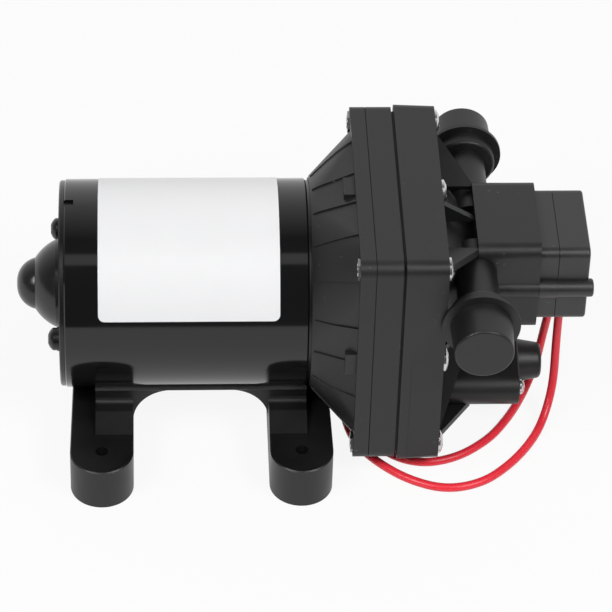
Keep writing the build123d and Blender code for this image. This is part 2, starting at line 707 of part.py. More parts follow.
def winding_end(x0, x1):
    """Rounded copper bundle at one end of the core, pinched between the slots."""
    width = x1 - x0
    height = WINDING_RADIUS - WINDING_BORE
    centre = Pos((x0 + x1) / 2, (WINDING_RADIUS + WINDING_BORE) / 2)
    bundle = revolve_about_axis(centre * RectangleRounded(width, height, WINDING_ROUND))
    for place in around_axis(SLOT_COUNT, 180 / SLOT_COUNT):
        bundle -= place * disc(x0 - OVERRUN, x1 + OVERRUN, WINDING_NOTCH, 0, WINDING_RADIUS)
    return bundle


def make_armature_windings():
    """End bundles joined by the copper that fills each slot."""
    front = CORE_REAR_X + CORE_LENGTH
    windings = winding_end(CORE_REAR_X - WINDING_LENGTH - SEAT_GAP, CORE_REAR_X - SEAT_GAP)
    windings += winding_end(front + SEAT_GAP, front + SEAT_GAP + WINDING_LENGTH)
    overlap = WINDING_LENGTH / 2
    bar = disc(CORE_REAR_X - overlap, front + overlap, SLOT_RADIUS - SEAT_GAP, 0, SLOT_DEPTH_RADIUS)
    for place in around_axis(SLOT_COUNT):
        windings += place * bar
    return windings


def make_commutator():
    rear = CORE_REAR_X - WINDING_LENGTH - COMMUTATOR_LENGTH - LOOSE_GAP
    drum = disc(rear, rear + COMMUTATOR_LENGTH, COMMUTATOR_RADIUS)
    half = COMMUTATOR_GROOVE / 2
    groove = block(rear - OVERRUN, rear + COMMUTATOR_LENGTH + OVERRUN, -half, half,
                   COMMUTATOR_RADIUS - COMMUTATOR_GROOVE_DEPTH, COMMUTATOR_RADIUS + OVERRUN)
    for place in around_axis(SLOT_COUNT, 180 / SLOT_COUNT):
        drum -= place * groove
    return drum - disc(rear - OVERRUN, rear + COMMUTATOR_LENGTH + OVERRUN, SHAFT_RADIUS)


def brush_centre_x():
    return CORE_REAR_X - WINDING_LENGTH - LOOSE_GAP - COMMUTATOR_LENGTH / 2


def brush_box(side, extra):
    """Space of one brush above or below the commutator, grown by extra on four sides."""
    x = brush_centre_x()
    half_x = BRUSH_LENGTH_X / 2 + extra
    half_y = BRUSH_WIDTH / 2 + extra
    low = COMMUTATOR_RADIUS + BRUSH_GAP
    return x, half_x, half_y, low


def make_brush(side):
    x, half_x, half_y, low = brush_box(side, 0.0)
    high = low + BRUSH_HEIGHT
    brush = block(x - half_x, x + half_x, -half_y, half_y, low, high)
    brush -= disc(x - half_x - OVERRUN, x + half_x + OVERRUN, COMMUTATOR_RADIUS + BRUSH_GAP)
    return brush if side > 0 else flip_below(brush)


def flip_below(solid):
    """Turn a solid half a turn about the motor axis."""
    return Pos(0, 0, AXIS_HEIGHT) * Rot(X=180) * Pos(0, 0, -AXIS_HEIGHT) * solid


def make_brush_spring(side):
    x, half_x, half_y, low = brush_box(side, 0.0)
    bottom = low + BRUSH_HEIGHT + SEAT_GAP
    top = COMMUTATOR_RADIUS + BRUSH_BOX_HEIGHT - BRUSH_BOX_WALL - SEAT_GAP
    coil = helix_spring(bottom, top, BRUSH_SPRING_RADIUS, BRUSH_SPRING_WIRE, BRUSH_SPRING_TURNS, 0.0, -AXIS_HEIGHT)
    coil = Pos(x, 0, AXIS_HEIGHT) * Rot(Y=-90) * coil
    return coil if side > 0 else flip_below(coil)


def make_brush_card():
    """Insulating ring behind the end cap with two brush boxes and a terminal lug."""
    x, half_x, half_y, low = brush_box(1, RUNNING_GAP)
    rear = CAN_REAR_X + SEAT_GAP
    outer = MOTOR_RADIUS - 2 * CAN_WALL - 2 * SEAT_GAP
    card = ring(rear, rear + BRUSH_CARD_THICKNESS, outer, BRUSH_CARD_BORE)
    wall_x = half_x + BRUSH_BOX_WALL
    wall_y = half_y + BRUSH_BOX_WALL
    box_low = COMMUTATOR_RADIUS + BRUSH_BOX_WALL
    box_high = COMMUTATOR_RADIUS + BRUSH_BOX_HEIGHT
    box = block(rear, x + wall_x, -wall_y, wall_y, box_low + COMMUTATOR_RADIUS / 4, box_high)
    box -= block(x - half_x, x + half_x, -half_y, half_y, 0, box_high - BRUSH_BOX_WALL)
    card += box
    card += flip_below(box)
    for side in (-1, 1):
        card -= disc(rear - OVERRUN, rear + BRUSH_CARD_THICKNESS + OVERRUN, BOLT_RADIUS + LOOSE_GAP,
                     side * BOLT_OFFSET)
    return card


def cone_face(x, radius_gap=0.0):
    """Section of the adapter where it meets the motor: a full circle as a rounded square."""
    radius = MOTOR_RADIUS - radius_gap
    nearly = radius - SEAT_GAP
    return Plane.YZ.offset(x) * Pos(0, AXIS_HEIGHT) * RectangleRounded(2 * radius, 2 * radius, nearly)


def make_adapter_cone(shrink, x0, x1):
    """Flare from the round can to the rounded square flange, smaller by shrink all round."""
    start = cone_face(x0, shrink)
    half = CONE_END_HALF - shrink
    end = flange_outline(x1, half, CONE_END_CORNER - shrink)
    return loft([start, end])


def cone_ribs():
    """Thin raised lines along the flare, all round, from the motor end to the flange."""
    half = CONE_RIB_WIDTH / 2
    plate = block(CONE_X + CONE_RIB_WIDTH, ADAPTER_X, -half, half, MOTOR_RADIUS / 2, 2 * MOTOR_RADIUS)
    plates = Part()
    for place in around_axis(CONE_RIB_COUNT, 180 / CONE_RIB_COUNT):
        plates += place * plate
    return plates & make_adapter_cone(-CONE_RIB_HEIGHT, CONE_X, ADAPTER_X)


def make_adapter_housing():
    """Cone and flange that carry the motor on one side and the pump head on the other."""
    body = make_adapter_cone(0.0, CONE_X, ADAPTER_X)
    body += cone_ribs()
    body += extrude(flange_outline(ADAPTER_X, FLANGE_HALF, FLANGE_CORNER), amount=ADAPTER_FLANGE)
    corners, sides = screw_places()
    for y, z in sides:
        half = SIDE_BOSS_WIDTH / 2
        low = CONE_END_HALF - SIDE_BOSS_HEIGHT
        boss = block(ADAPTER_X - SIDE_BOSS_LENGTH, ADAPTER_X, -half, half, low, FLANGE_HALF - SIDE_BOSS_INSET)
        turn = math.degrees(math.atan2(z, y)) - 90
        body += Pos(0, 0, AXIS_HEIGHT) * Rot(X=turn) * Pos(0, 0, -AXIS_HEIGHT) * boss
    hollow = make_adapter_cone(CONE_WALL, CONE_X - OVERRUN, ADAPTER_X + SEAT_GAP)
    body -= hollow
    body -= disc(ADAPTER_X, MIDDLE_X + OVERRUN, CONE_END_HALF - CONE_WALL - WASHER_THICKNESS)
    body -= screw_holes(ADAPTER_X - OVERRUN, MIDDLE_X + OVERRUN, SCREW_RADIUS + SEAT_GAP)
    for y, z in corners:
        body -= disc(ADAPTER_X - HEX_NUT_THICKNESS, ADAPTER_X + NUT_SINK, HEX_NUT_ACROSS * NUT_POCKET_SHARE, y, z)
    for side in (-1, 1):
        boss = disc(CONE_X, CONE_X + BOLT_BOSS_LENGTH, BOLT_BOSS_RADIUS, side * BOLT_OFFSET)
        body += boss & make_adapter_cone(0.0, CONE_X, ADAPTER_X)
        body -= disc(CONE_X - OVERRUN, CONE_X + BOLT_BOSS_LENGTH + OVERRUN, BOLT_RADIUS, side * BOLT_OFFSET)
    return body


def tilt(solid):
    """Lean a solid about the plate's centre, as the cam's skewed journal does."""
    there = Pos(PLATE_CENTRE_X, 0, AXIS_HEIGHT)
    back = Pos(-PLATE_CENTRE_X, 0, -AXIS_HEIGHT)
    return there * Rot(Y=TILT_DEGREES) * back * solid


def make_cam():
    """Hub on the shaft with a journal skewed to the motor axis and a balance flat."""
    cam = disc(CAM_X, JOURNAL_X, CAM_RADIUS)
    cam -= block(CAM_X - OVERRUN, JOURNAL_X - CAN_WALL, -CAM_RADIUS, CAM_RADIUS,
                 CAM_RADIUS - CAM_FLAT, CAM_RADIUS + OVERRUN)
    cam += tilt(disc(JOURNAL_X - CAN_WALL, PLATE_CENTRE_X + JOURNAL_LENGTH / 2, JOURNAL_RADIUS))
    shaft = make_rotor_shaft()
    return cam - shaft


def make_cam_bearing():
    start = PLATE_CENTRE_X - CAM_BEARING_WIDTH / 2
    bearing = make_ball_bearing(start, CAM_BEARING_WIDTH, CAM_BEARING_RADIUS, JOURNAL_RADIUS + RUNNING_GAP)
    return tilt(bearing)


def make_wobble_plate():
    """Three armed plate on the cam's bearing, with a neck to each diaphragm chamber."""
    start = PLATE_CENTRE_X - WOBBLE_THICKNESS / 2
    end = start + WOBBLE_THICKNESS
    plate = disc(start, end, WOBBLE_HUB_RADIUS)
    arm_half = WOBBLE_LOBE_RADIUS * WOBBLE_ARM_SHARE
    for y, z in chamber_places():
        plate += disc(start, end, WOBBLE_LOBE_RADIUS, y, z)
        turn = math.degrees(math.atan2(z, y)) - 90
        arm = block(start, end, -arm_half, arm_half, 0, WOBBLE_LOBE_OFFSET)
        plate += Pos(0, 0, AXIS_HEIGHT) * Rot(X=turn) * Pos(0, 0, -AXIS_HEIGHT) * arm
        plate += disc(end, GASKET_X - LOOSE_GAP, WOBBLE_NECK_RADIUS, y, z)
        plate -= disc(GASKET_X - CLAMP_SCREW_DEPTH, GASKET_X + OVERRUN, CLAMP_SCREW_RADIUS, y, z)
    plate -= disc(start - OVERRUN, end + OVERRUN, CAM_BEARING_RADIUS)
    return tilt(plate)


def make_piston_clamps():
    """Disc and screw on the wet side of each chamber that hold the rubber to the plate's necks."""
    clamps = Part()
    for y, z in chamber_places():
        start = UPPER_X + LOOSE_GAP
        clamp = disc(start, start + CLAMP_THICKNESS, CLAMP_RADIUS, y, z)
        clamp += pan_head(start + CLAMP_THICKNESS, CLAMP_SCREW_HEAD_RADIUS, CLAMP_SCREW_HEAD_HEIGHT, 1, y, z)
        clamp += disc(GASKET_X - CLAMP_SCREW_DEPTH + SEAT_GAP, start, CLAMP_SCREW_RADIUS, y, z)
        clamps += clamp
    return tilt(clamps)


def make_middle_housing():
    """Plate with a bore for each chamber and a skirt that the diaphragm is clamped on."""
    plate = extrude(flange_outline(MIDDLE_X, FLANGE_HALF, FLANGE_CORNER), amount=MIDDLE_THICKNESS)
    plate = chamfer(plate.edges().group_by(Axis.X)[0], MIDDLE_PARTING)
    for y, z in chamber_places():
        plate -= disc(MIDDLE_X - OVERRUN, GASKET_X + OVERRUN, CHAMBER_RADIUS, y, z)
    plate -= screw_holes(MIDDLE_X - OVERRUN, GASKET_X + OVERRUN, SCREW_RADIUS + SEAT_GAP)
    return plate


def make_diaphragm():
    """One rubber sheet with a moulded roll round each piston, gripped by its square rim."""
    half = FLANGE_HALF - GASKET_RECESS
    sheet = extrude(flange_outline(GASKET_X, half, FLANGE_CORNER), amount=GASKET_THICKNESS)
    roll_radius = CHAMBER_RADIUS - SEAT_GAP - ROLL_RADIUS
    middle = (GASKET_X + UPPER_X) / 2
    centres = Part()
    for y, z in chamber_places():
        sheet -= disc(GASKET_X - OVERRUN, UPPER_X + OVERRUN, roll_radius + ROLL_OVERLAP, y, z)
        sheet += Pos(middle, y, z + AXIS_HEIGHT) * Rot(Y=90) * Torus(roll_radius, ROLL_RADIUS)
        centre = disc(GASKET_X, UPPER_X, roll_radius - ROLL_OVERLAP, y, z)
        centres += centre - disc(GASKET_X - OVERRUN, UPPER_X + OVERRUN, CLAMP_SCREW_RADIUS + LOOSE_GAP, y, z)
    sheet += tilt(centres)
    sheet -= screw_holes(GASKET_X - OVERRUN, UPPER_X + OVERRUN, SCREW_RADIUS + SEAT_GAP)
    return sheet


def valve_plate_x():
    return UPPER_X + VALVE_PLATE_GAP + CLAMP_THICKNESS


def make_valve_plate():
    """Seat plate over the chambers: a fan of inlet holes and of outlet holes for each."""
    start = valve_plate_x()
    end = start + VALVE_PLATE_THICKNESS
    plate = disc(UPPER_X, end, VALVE_PLATE_RADIUS)
    for y, z in chamber_places():
        plate -= disc(UPPER_X - OVERRUN, start, CHAMBER_RADIUS, y, z)
    plate += ring(end, end + OUTLET_WALL_THICKNESS, OUTLET_WALL_RADIUS, OUTLET_WALL_RADIUS - OUTLET_WALL_THICKNESS)
    for y, z in chamber_places():
        spread = INLET_VALVE_OFFSET / WOBBLE_LOBE_OFFSET
        plate -= disc(start - OVERRUN, end + OVERRUN, INLET_STEM_RADIUS + RUNNING_GAP, y * spread, z * spread)
        plate -= disc(start - OVERRUN, start + INLET_VALVE_THICKNESS + SEAT_GAP,
                      INLET_VALVE_RADIUS + LOOSE_GAP, y * spread, z * spread)
        for index in range(INLET_HOLE_COUNT):
            angle = math.radians(index * 360 / INLET_HOLE_COUNT)
            dy = INLET_HOLE_RING * math.cos(angle)
            dz = INLET_HOLE_RING * math.sin(angle)
            plate -= disc(start - OVERRUN, end + OVERRUN, INLET_HOLE_RADIUS, y * spread + dy, z * spread + dz)
        turn = math.atan2(z, y)
        for step in (-1, 0, 1):
            angle = turn + step * math.radians(360 / CHAMBER_COUNT / 4)
            plate -= disc(start - OVERRUN, end + OVERRUN, OUTLET_HOLE_RADIUS,
                          OUTLET_HOLE_RING * math.cos(angle), OUTLET_HOLE_RING * math.sin(angle))
    plate -= disc(start - OVERRUN, end + OVERRUN, INLET_STEM_RADIUS + RUNNING_GAP)
    return plate


def make_inlet_valves():
    """Rubber mushroom under each inlet fan, its stem pulled through the plate."""
    start = valve_plate_x()
    end = start + VALVE_PLATE_THICKNESS
    valves = Part()
    spread = INLET_VALVE_OFFSET / WOBBLE_LOBE_OFFSET
    for y, z in chamber_places():
        valve = disc(start, start + INLET_VALVE_THICKNESS, INLET_VALVE_RADIUS, y * spread, z * spread)
        valve += disc(start, end + LOOSE_GAP, INLET_STEM_RADIUS, y * spread, z * spread)
        valve += disc(end + LOOSE_GAP, end + INLET_VALVE_THICKNESS, INLET_STEM_RADIUS * INLET_BEAD_SHARE, y * spread, z * spread)
        valves += valve
    return valves


def make_outlet_valve():
    """One domed rubber disc over all the outlet holes, held by its stem."""
    end = valve_plate_x() + VALVE_PLATE_THICKNESS
    valve = disc(end + SEAT_GAP, end + SEAT_GAP + OUTLET_VALVE_THICKNESS, OUTLET_VALVE_RADIUS)
    valve += disc(valve_plate_x() + LOOSE_GAP, end + SEAT_GAP, INLET_STEM_RADIUS)
    return valve


def head_ribs():
    """Webs from the screw places to the switch tower, at the corners and the middles of three sides."""
    ribs = Part()
    clear = SCREW_HEAD_RADIUS + RIB_END_GAP
    corner = SCREW_OFFSET - clear / math.sqrt(2)
    middle = SIDE_SCREW_OFFSET - clear
    half = TOWER_HALF - RIB_THICKNESS
    top = TOWER_TOP - RIB_THICKNESS
    bottom = TOWER_BOTTOM + RIB_THICKNESS
    ribs += head_web((0, middle), (0, top))
    for side in (-1, 1):
        ribs += head_web((side * corner, corner), (side * half, top))
        ribs += head_web((side * corner, -corner), (side * half, bottom))
        ribs += head_web((side * middle, 0), (side * half, bottom + RIB_THICKNESS))
    return ribs


def head_web(start, end):
    """Upright web on the flange between two places, its edge rising from the first to the second."""
    dy = end[0] - start[0]
    dz = end[1] - start[1]
    length = math.hypot(dy, dz)
    points = [
        (DOME_X - OVERRUN, 0), (DOME_X + RIB_END_RISE, 0),
        (DOME_X + DOME_LENGTH, length), (DOME_X - OVERRUN, length)]
    face = make_face(Polyline(*points, close=True))
    web = extrude(Plane.XZ * face, amount=RIB_THICKNESS / 2, both=True)
    turn = math.degrees(math.atan2(dz, dy)) - 90
    return Pos(0, start[0], AXIS_HEIGHT + start[1]) * Rot(X=turn) * web


def port_solid(side, y0, y1, radius):
    """Round bar along Y on the port's axis, between two distances from the middle."""
    length = y1 - y0
    bar = Cylinder(radius, length, rotation=(90, 0, 0))
    return Pos(PORT_X, side * (y0 + y1) / 2, AXIS_HEIGHT + PORT_RISE) * bar


def make_port(side):
    """Neck, collar, flange ring and threaded spigot of one port."""
    ring_end = RING_START + RING_THICKNESS
    port = port_solid(side, TOWER_HALF / 2 - OVERRUN, COLLAR_START + OVERRUN, PORT_NECK_RADIUS)
    collar = port_solid(side, COLLAR_START, RING_START, COLLAR_RADIUS)
    inboard = collar.edges().filter_by(GeomType.CIRCLE).sort_by(lambda e: abs(e.center().Y))[0]
    port += fillet(inboard, COLLAR_ROUND)
    port += port_solid(side, RING_START, ring_end, RING_RADIUS)
    port += port_solid(side, ring_end, SPIGOT_END, SPIGOT_RADIUS)
    return port


def bypass_outline(x, barrel, ear):
    """Two ears either side of a round barrel, wrapped in one smooth line."""
    shape = make_hull(
        Circle(barrel).edges()
        + (Pos(BYPASS_EAR_OFFSET, 0) * Circle(ear)).edges()
        + (Pos(-BYPASS_EAR_OFFSET, 0) * Circle(ear)).edges())
    return Plane.YZ.offset(x) * Pos(0, AXIS_HEIGHT - BYPASS_DROP) * shape


def make_upper_housing():
    """Head moulding: flange, dome, switch tower, two ports and the bypass barrel."""
    half = FLANGE_HALF + UPPER_PROUD
    wide = flange_outline(UPPER_X, half, FLANGE_CORNER)
    narrow = flange_outline(DOME_X, half - UPPER_DRAFT, FLANGE_CORNER)
    head = loft([wide, narrow])
    step_low = -FLANGE_HALF - UPPER_PROUD - OVERRUN
    step_start = UPPER_X + UPPER_FLANGE * STEP_START_SHARE
    for sign in (-1, 1):
        outer = sign * (FLANGE_HALF + 2 * UPPER_PROUD + OVERRUN)
        inner = sign * (half - STEP_DEPTH)
        head -= block(step_start, DOME_X + OVERRUN, min(outer, inner), max(outer, inner),
                      step_low, STEP_RISE)
    dome_low = flange_outline(DOME_X, DOME_BASE_HALF, DOME_BASE_CORNER)
    tower_mid = (TOWER_TOP + TOWER_BOTTOM) / 2
    tower_face = Plane.YZ.offset(TOWER_X) * Pos(0, AXIS_HEIGHT + tower_mid)
    dome_width = 2 * TOWER_HALF * DOME_TOP_SHARE
    dome_height = (TOWER_TOP - TOWER_BOTTOM) * DOME_TOP_SHARE
    dome_high = tower_face * RectangleRounded(dome_width, dome_height, TOWER_CORNER)
    head += loft([dome_low, dome_high])
    head += head_ribs()
    head += block(TOWER_X - OVERRUN, TOWER_END_X, -TOWER_HALF, TOWER_HALF, TOWER_BOTTOM, TOWER_TOP, TOWER_CORNER)
    for side in (-1, 1):
        y = side * (TOWER_HALF - SWITCH_BOSS_INSET)
        head += disc(TOWER_X, TOWER_END_X, SWITCH_BOSS_RADIUS - SWITCH_PARTING, y, TOWER_TOP - SWITCH_BOSS_DROP)
        head += make_port(side)
    head += extrude(bypass_outline(DOME_X - OVERRUN, BYPASS_BARREL_RADIUS, BYPASS_EAR_RADIUS),
                    amount=BYPASS_END_X - DOME_X + OVERRUN)
    spine = [(DOME_X, TOWER_BOTTOM), (TOWER_X + DOME_LENGTH / 2, TOWER_BOTTOM),
             (TOWER_X, -BYPASS_DROP), (DOME_X, -BYPASS_DROP)]
    spine_face = make_face(Polyline(*spine, close=True))
    head += Pos(0, 0, AXIS_HEIGHT) * extrude(Plane.XZ * spine_face, amount=RIB_THICKNESS, both=True)
    # floor gussets from the lower corners to the bypass ears
    low = -BYPASS_DROP - BYPASS_EAR_RADIUS
    skirt = [(DOME_X, -SCREW_OFFSET + SCREW_HEAD_RADIUS), (TOWER_X, -BYPASS_EAR_OFFSET - BYPASS_EAR_RADIUS / 2),
             (TOWER_X, BYPASS_EAR_OFFSET + BYPASS_EAR_RADIUS / 2), (DOME_X, SCREW_OFFSET - SCREW_HEAD_RADIUS)]
    skirt_face = make_face(Polyline(*skirt, close=True))
    head += Pos(0, 0, AXIS_HEIGHT + low) * extrude(skirt_face, amount=RIB_THICKNESS)
    # inside: chamber pocket, outlet pocket, ports, sensing bore and bypass bore
    pocket_end = valve_plate_x() + VALVE_PLATE_THICKNESS
    head -= disc(UPPER_X - OVERRUN, pocket_end, VALVE_PLATE_RADIUS + SEAT_GAP)
    gallery_end = pocket_end + HEAD_ROOF
    head -= ring(pocket_end - SEAT_GAP, pocket_end + PLENUM_DEPTH, PLENUM_RADIUS, OUTLET_WALL_RADIUS + HEAD_ROOF)
    head -= disc(pocket_end - SEAT_GAP, gallery_end, OUTLET_WALL_RADIUS + SEAT_GAP)
    for side in (-1, 1):
        bore_start = TOWER_HALF / 2
        length = SPIGOT_END + OVERRUN - bore_start
        bore = Cylinder(PORT_BORE_RADIUS, length, rotation=(90, 0, 0))
        head -= Pos(PORT_X, side * (bore_start + length / 2), AXIS_HEIGHT + PORT_RISE) * bore
    gallery = PORT_BORE_RADIUS * GALLERY_SHARE
    head -= block(gallery_end - OVERRUN, PORT_X + SENSE_BORE_RADIUS, 0, TOWER_HALF / 2 + OVERRUN, gallery, PORT_RISE)
    head -= disc(pocket_end - OVERRUN, PORT_X, gallery, -GALLERY_OFFSET, PORT_RISE)
    head -= disc(PORT_X, TOWER_END_X + OVERRUN, SENSE_BORE_RADIUS, 0, SENSE_RISE)
    head -= disc(POPPET_SEAT_X, BYPASS_END_X + OVERRUN, BYPASS_BORE_RADIUS, 0, -BYPASS_DROP)
    head -= disc(pocket_end - OVERRUN, POPPET_SEAT_X + OVERRUN, POPPET_STEM_RADIUS, 0, -BYPASS_DROP + POPPET_RADIUS / 2)
    seat = SWITCH_DIAPHRAGM_THICKNESS
    head -= disc(TOWER_END_X - seat, TOWER_END_X + OVERRUN, SWITCH_DIAPHRAGM_RADIUS + SEAT_GAP, 0, SENSE_RISE)
    head -= screw_holes(UPPER_X - OVERRUN, DOME_X + OVERRUN, SCREW_RADIUS + SEAT_GAP)
    for side in (-1, 1):
        y = side * (TOWER_HALF - SWITCH_BOSS_INSET)
        head -= disc(TOWER_END_X - SHORT_SCREW_HOLE, TOWER_END_X + OVERRUN, SWITCH_SCREW_RADIUS + SEAT_GAP, y,
                     TOWER_TOP - SWITCH_BOSS_DROP)
        head -= disc(BYPASS_END_X - SHORT_SCREW_HOLE, BYPASS_END_X + OVERRUN, BYPASS_SCREW_RADIUS + SEAT_GAP,
                     side * BYPASS_EAR_OFFSET, -BYPASS_DROP)
    return head


def make_port_cap(side):
    """Soft dust cap pushed over the spigot, standing on the port's flange ring."""
    start = RING_START + RING_THICKNESS
    outer = SPIGOT_RADIUS + RUNNING_GAP + CAP_WALL
    base = Plane((PORT_X, side * start, AXIS_HEIGHT + PORT_RISE), x_dir=(1, 0, 0), z_dir=(0, side, 0))
    cap = loft([base * Circle(outer), base.offset(CAP_END - start) * Circle(outer - CAP_DRAFT)])
    rim = cap.edges().filter_by(GeomType.CIRCLE).sort_by(lambda e: abs(e.center().Y))[-1]
    cap = fillet(rim, CAP_ROUND)
    inner = port_solid(side, start - OVERRUN, SPIGOT_END + SEAT_GAP, SPIGOT_RADIUS + RUNNING_GAP)
    return cap - inner


def make_head_screws():
    """Seven screws through the flanges, the corner ones ending in hexagon nuts."""
    screws = Part()
    corners, sides = screw_places()
    for y, z in corners:
        screw = pan_head(DOME_X, SCREW_HEAD_RADIUS, SCREW_HEAD_HEIGHT, 1, y, z)
        tip = ADAPTER_X + NUT_SINK - HEX_NUT_THICKNESS - SCREW_TIP
        screw += disc(tip, DOME_X, SCREW_RADIUS, y, z)
        screws += screw
    for y, z in sides:
        screw = pan_head(DOME_X, SCREW_HEAD_RADIUS, SCREW_HEAD_HEIGHT, 1, y, z)
        screw += disc(ADAPTER_X, DOME_X, SCREW_RADIUS, y, z)
        screws += screw
    return screws


def make_corner_nuts():
    """Hexagon nuts sunk in round pockets in the back of the adapter's flange."""
    nuts = Part()
    corners, sides = screw_places()
    seat = ADAPTER_X + NUT_SINK
    hexagon = RegularPolygon(HEX_NUT_ACROSS / 2, 6, major_radius=False)
    for y, z in corners:
        nut = extrude(Plane.YZ.offset(seat) * Pos(y, z + AXIS_HEIGHT) * hexagon, amount=-HEX_NUT_THICKNESS)
        nuts += nut - disc(seat - HEX_NUT_THICKNESS - OVERRUN, seat + OVERRUN, SCREW_RADIUS + RUNNING_GAP, y, z)
    return nuts


def switch_shell(x0, x1, grow=0.0):
    shell = block(x0, x1, -SWITCH_HALF + grow, SWITCH_HALF - grow, SWITCH_BOTTOM + grow, SWITCH_TOP - grow,
                  SWITCH_CORNER - grow)
    return shell


def switch_bosses(x0, x1, grow=0.0):
    bosses = Part()
    for side in (-1, 1):
        y = side * (TOWER_HALF - SWITCH_BOSS_INSET)
        bosses += disc(x0, x1, SWITCH_BOSS_RADIUS - grow, y, TOWER_TOP - SWITCH_BOSS_DROP)
    return bosses


def make_switch_body():
    """Frame between the head and the cover, holding the diaphragm and guiding the plunger."""
    body = switch_shell(TOWER_END_X, SWITCH_SPLIT_X) + switch_bosses(TOWER_END_X, SWITCH_SPLIT_X)
    floor = TOWER_END_X + SWITCH_WALL
    body -= switch_shell(floor, SWITCH_SPLIT_X + OVERRUN, SWITCH_WALL)
    body += switch_bosses(TOWER_END_X, SWITCH_SPLIT_X)
    body -= disc(TOWER_END_X - OVERRUN, floor + OVERRUN, PLUNGER_RADIUS + LOOSE_GAP, 0, SENSE_RISE)
    for side in (-1, 1):
        y = side * (TOWER_HALF - SWITCH_BOSS_INSET)
        body -= disc(TOWER_END_X - OVERRUN, SWITCH_SPLIT_X + OVERRUN, SWITCH_SCREW_RADIUS + SEAT_GAP, y,
                     TOWER_TOP - SWITCH_BOSS_DROP)
    return body


def make_switch_cover():
    """Outer cover of the switch, with the adjuster's threaded boss in its end wall."""
    cover = switch_shell(SWITCH_SPLIT_X, SWITCH_END_X)
    ends = cover.faces().sort_by(Axis.X)
    cover = fillet(ends[-1].edges(), SWITCH_EDGE)
    cover = chamfer(cover.edges().group_by(Axis.X)[0], SWITCH_PARTING)
    boss_end = SWITCH_END_X + SWITCH_BOSS_PROUD
    bosses = switch_bosses(SWITCH_SPLIT_X, boss_end, SWITCH_PARTING)
    bosses = fillet(bosses.edges().group_by(Axis.X)[-1], SWITCH_EDGE)
    cover += bosses
    inside = switch_shell(SWITCH_SPLIT_X - OVERRUN, SWITCH_END_X - SWITCH_WALL, SWITCH_WALL)
    cover -= inside
    cover += switch_bosses(SWITCH_SPLIT_X, SWITCH_END_X - SWITCH_WALL / 2, SWITCH_PARTING) & switch_shell(
        SWITCH_SPLIT_X, SWITCH_END_X)
    adjuster_x = SWITCH_END_X - ADJUSTER_LENGTH
    cover += disc(adjuster_x, SWITCH_END_X - SWITCH_WALL / 2, ADJUSTER_RADIUS + SWITCH_WALL, 0, SENSE_RISE)
    cover -= disc(adjuster_x - OVERRUN, SWITCH_END_X + OVERRUN, ADJUSTER_RADIUS + RUNNING_GAP, 0, SENSE_RISE)
    for side in (-1, 1):
        y = side * (TOWER_HALF - SWITCH_BOSS_INSET)
        z = TOWER_TOP - SWITCH_BOSS_DROP
        sink = boss_end - SWITCH_SCREW_SINK - BYPASS_SCREW_HEAD_HEIGHT
        cover -= disc(SWITCH_SPLIT_X - OVERRUN, boss_end + OVERRUN, SWITCH_SCREW_RADIUS + SEAT_GAP, y, z)
        cover -= disc(sink, boss_end + OVERRUN, SWITCH_SCREW_HEAD_RADIUS + SEAT_GAP, y, z)
    return cover


def make_switch_screws():
    screws = Part()
    boss_end = SWITCH_END_X + SWITCH_BOSS_PROUD
    seat = boss_end - SWITCH_SCREW_SINK - BYPASS_SCREW_HEAD_HEIGHT
    for side in (-1, 1):
        y = side * (TOWER_HALF - SWITCH_BOSS_INSET)
        z = TOWER_TOP - SWITCH_BOSS_DROP
        screw = pan_head(seat, SWITCH_SCREW_HEAD_RADIUS, BYPASS_SCREW_HEAD_HEIGHT, 1, y, z)
        screw += disc(TOWER_END_X - SHORT_SCREW_HOLD, seat, SWITCH_SCREW_RADIUS, y, z)
        screws += screw
    return screws


def make_switch_diaphragm():
    start = TOWER_END_X - SWITCH_DIAPHRAGM_THICKNESS
    return disc(start, TOWER_END_X, SWITCH_DIAPHRAGM_RADIUS, 0, SENSE_RISE)


def plunger_x():
    return TOWER_END_X + SEAT_GAP


def micro_x():
    return SWITCH_END_X - SWITCH_WALL - SEAT_GAP - MICRO_DEPTH


def make_switch_plunger():
    """Disc on the diaphragm with a spring guide and an arm down to the microswitch."""
    start = plunger_x()
    plunger = disc(start, start + SWITCH_WALL + PLUNGER_THICKNESS, PLUNGER_RADIUS, 0, SENSE_RISE)
    flat = start + SWITCH_WALL + LOOSE_GAP
    end = start + SWITCH_WALL + PLUNGER_THICKNESS
    plunger += disc(end, end + PLUNGER_THICKNESS, PLUNGER_GUIDE_RADIUS, 0, SENSE_RISE)
    half = PLUNGER_ARM_WIDTH / 2
    micro_mid = SWITCH_BOTTOM + SWITCH_WALL + MICRO_RISE + MICRO_HEIGHT / 2
    plunger += block(flat, end, -half, half, micro_mid - MICRO_BUTTON_WIDTH, SENSE_RISE)
    return plunger


def make_micro_button():
    """Red button of the microswitch, resting on the plunger's arm."""
    start = plunger_x() + SWITCH_WALL + PLUNGER_THICKNESS + SEAT_GAP
    z = SWITCH_BOTTOM + SWITCH_WALL + MICRO_RISE + MICRO_HEIGHT / 2
    half_y = MICRO_BUTTON_LENGTH / 2
    half_z = MICRO_BUTTON_WIDTH / 2
    return block(start, micro_x() + MICRO_BUTTON_HEIGHT, -half_y, half_y, z - half_z, z + half_z)


def make_microswitch():
    start = micro_x()
    z0 = SWITCH_BOTTOM + SWITCH_WALL + MICRO_RISE
    half = MICRO_LENGTH_Y / 2
    body = block(start, start + MICRO_DEPTH, -half, half, z0, z0 + MICRO_HEIGHT)
    z = z0 + MICRO_HEIGHT / 2
    half_y = MICRO_BUTTON_LENGTH / 2 + RUNNING_GAP
    half_z = MICRO_BUTTON_WIDTH / 2 + RUNNING_GAP
    slot_end = start + MICRO_BUTTON_HEIGHT + PLUNGER_TRAVEL + LOOSE_GAP
    return body - block(start - OVERRUN, slot_end, -half_y, half_y, z - half_z, z + half_z)


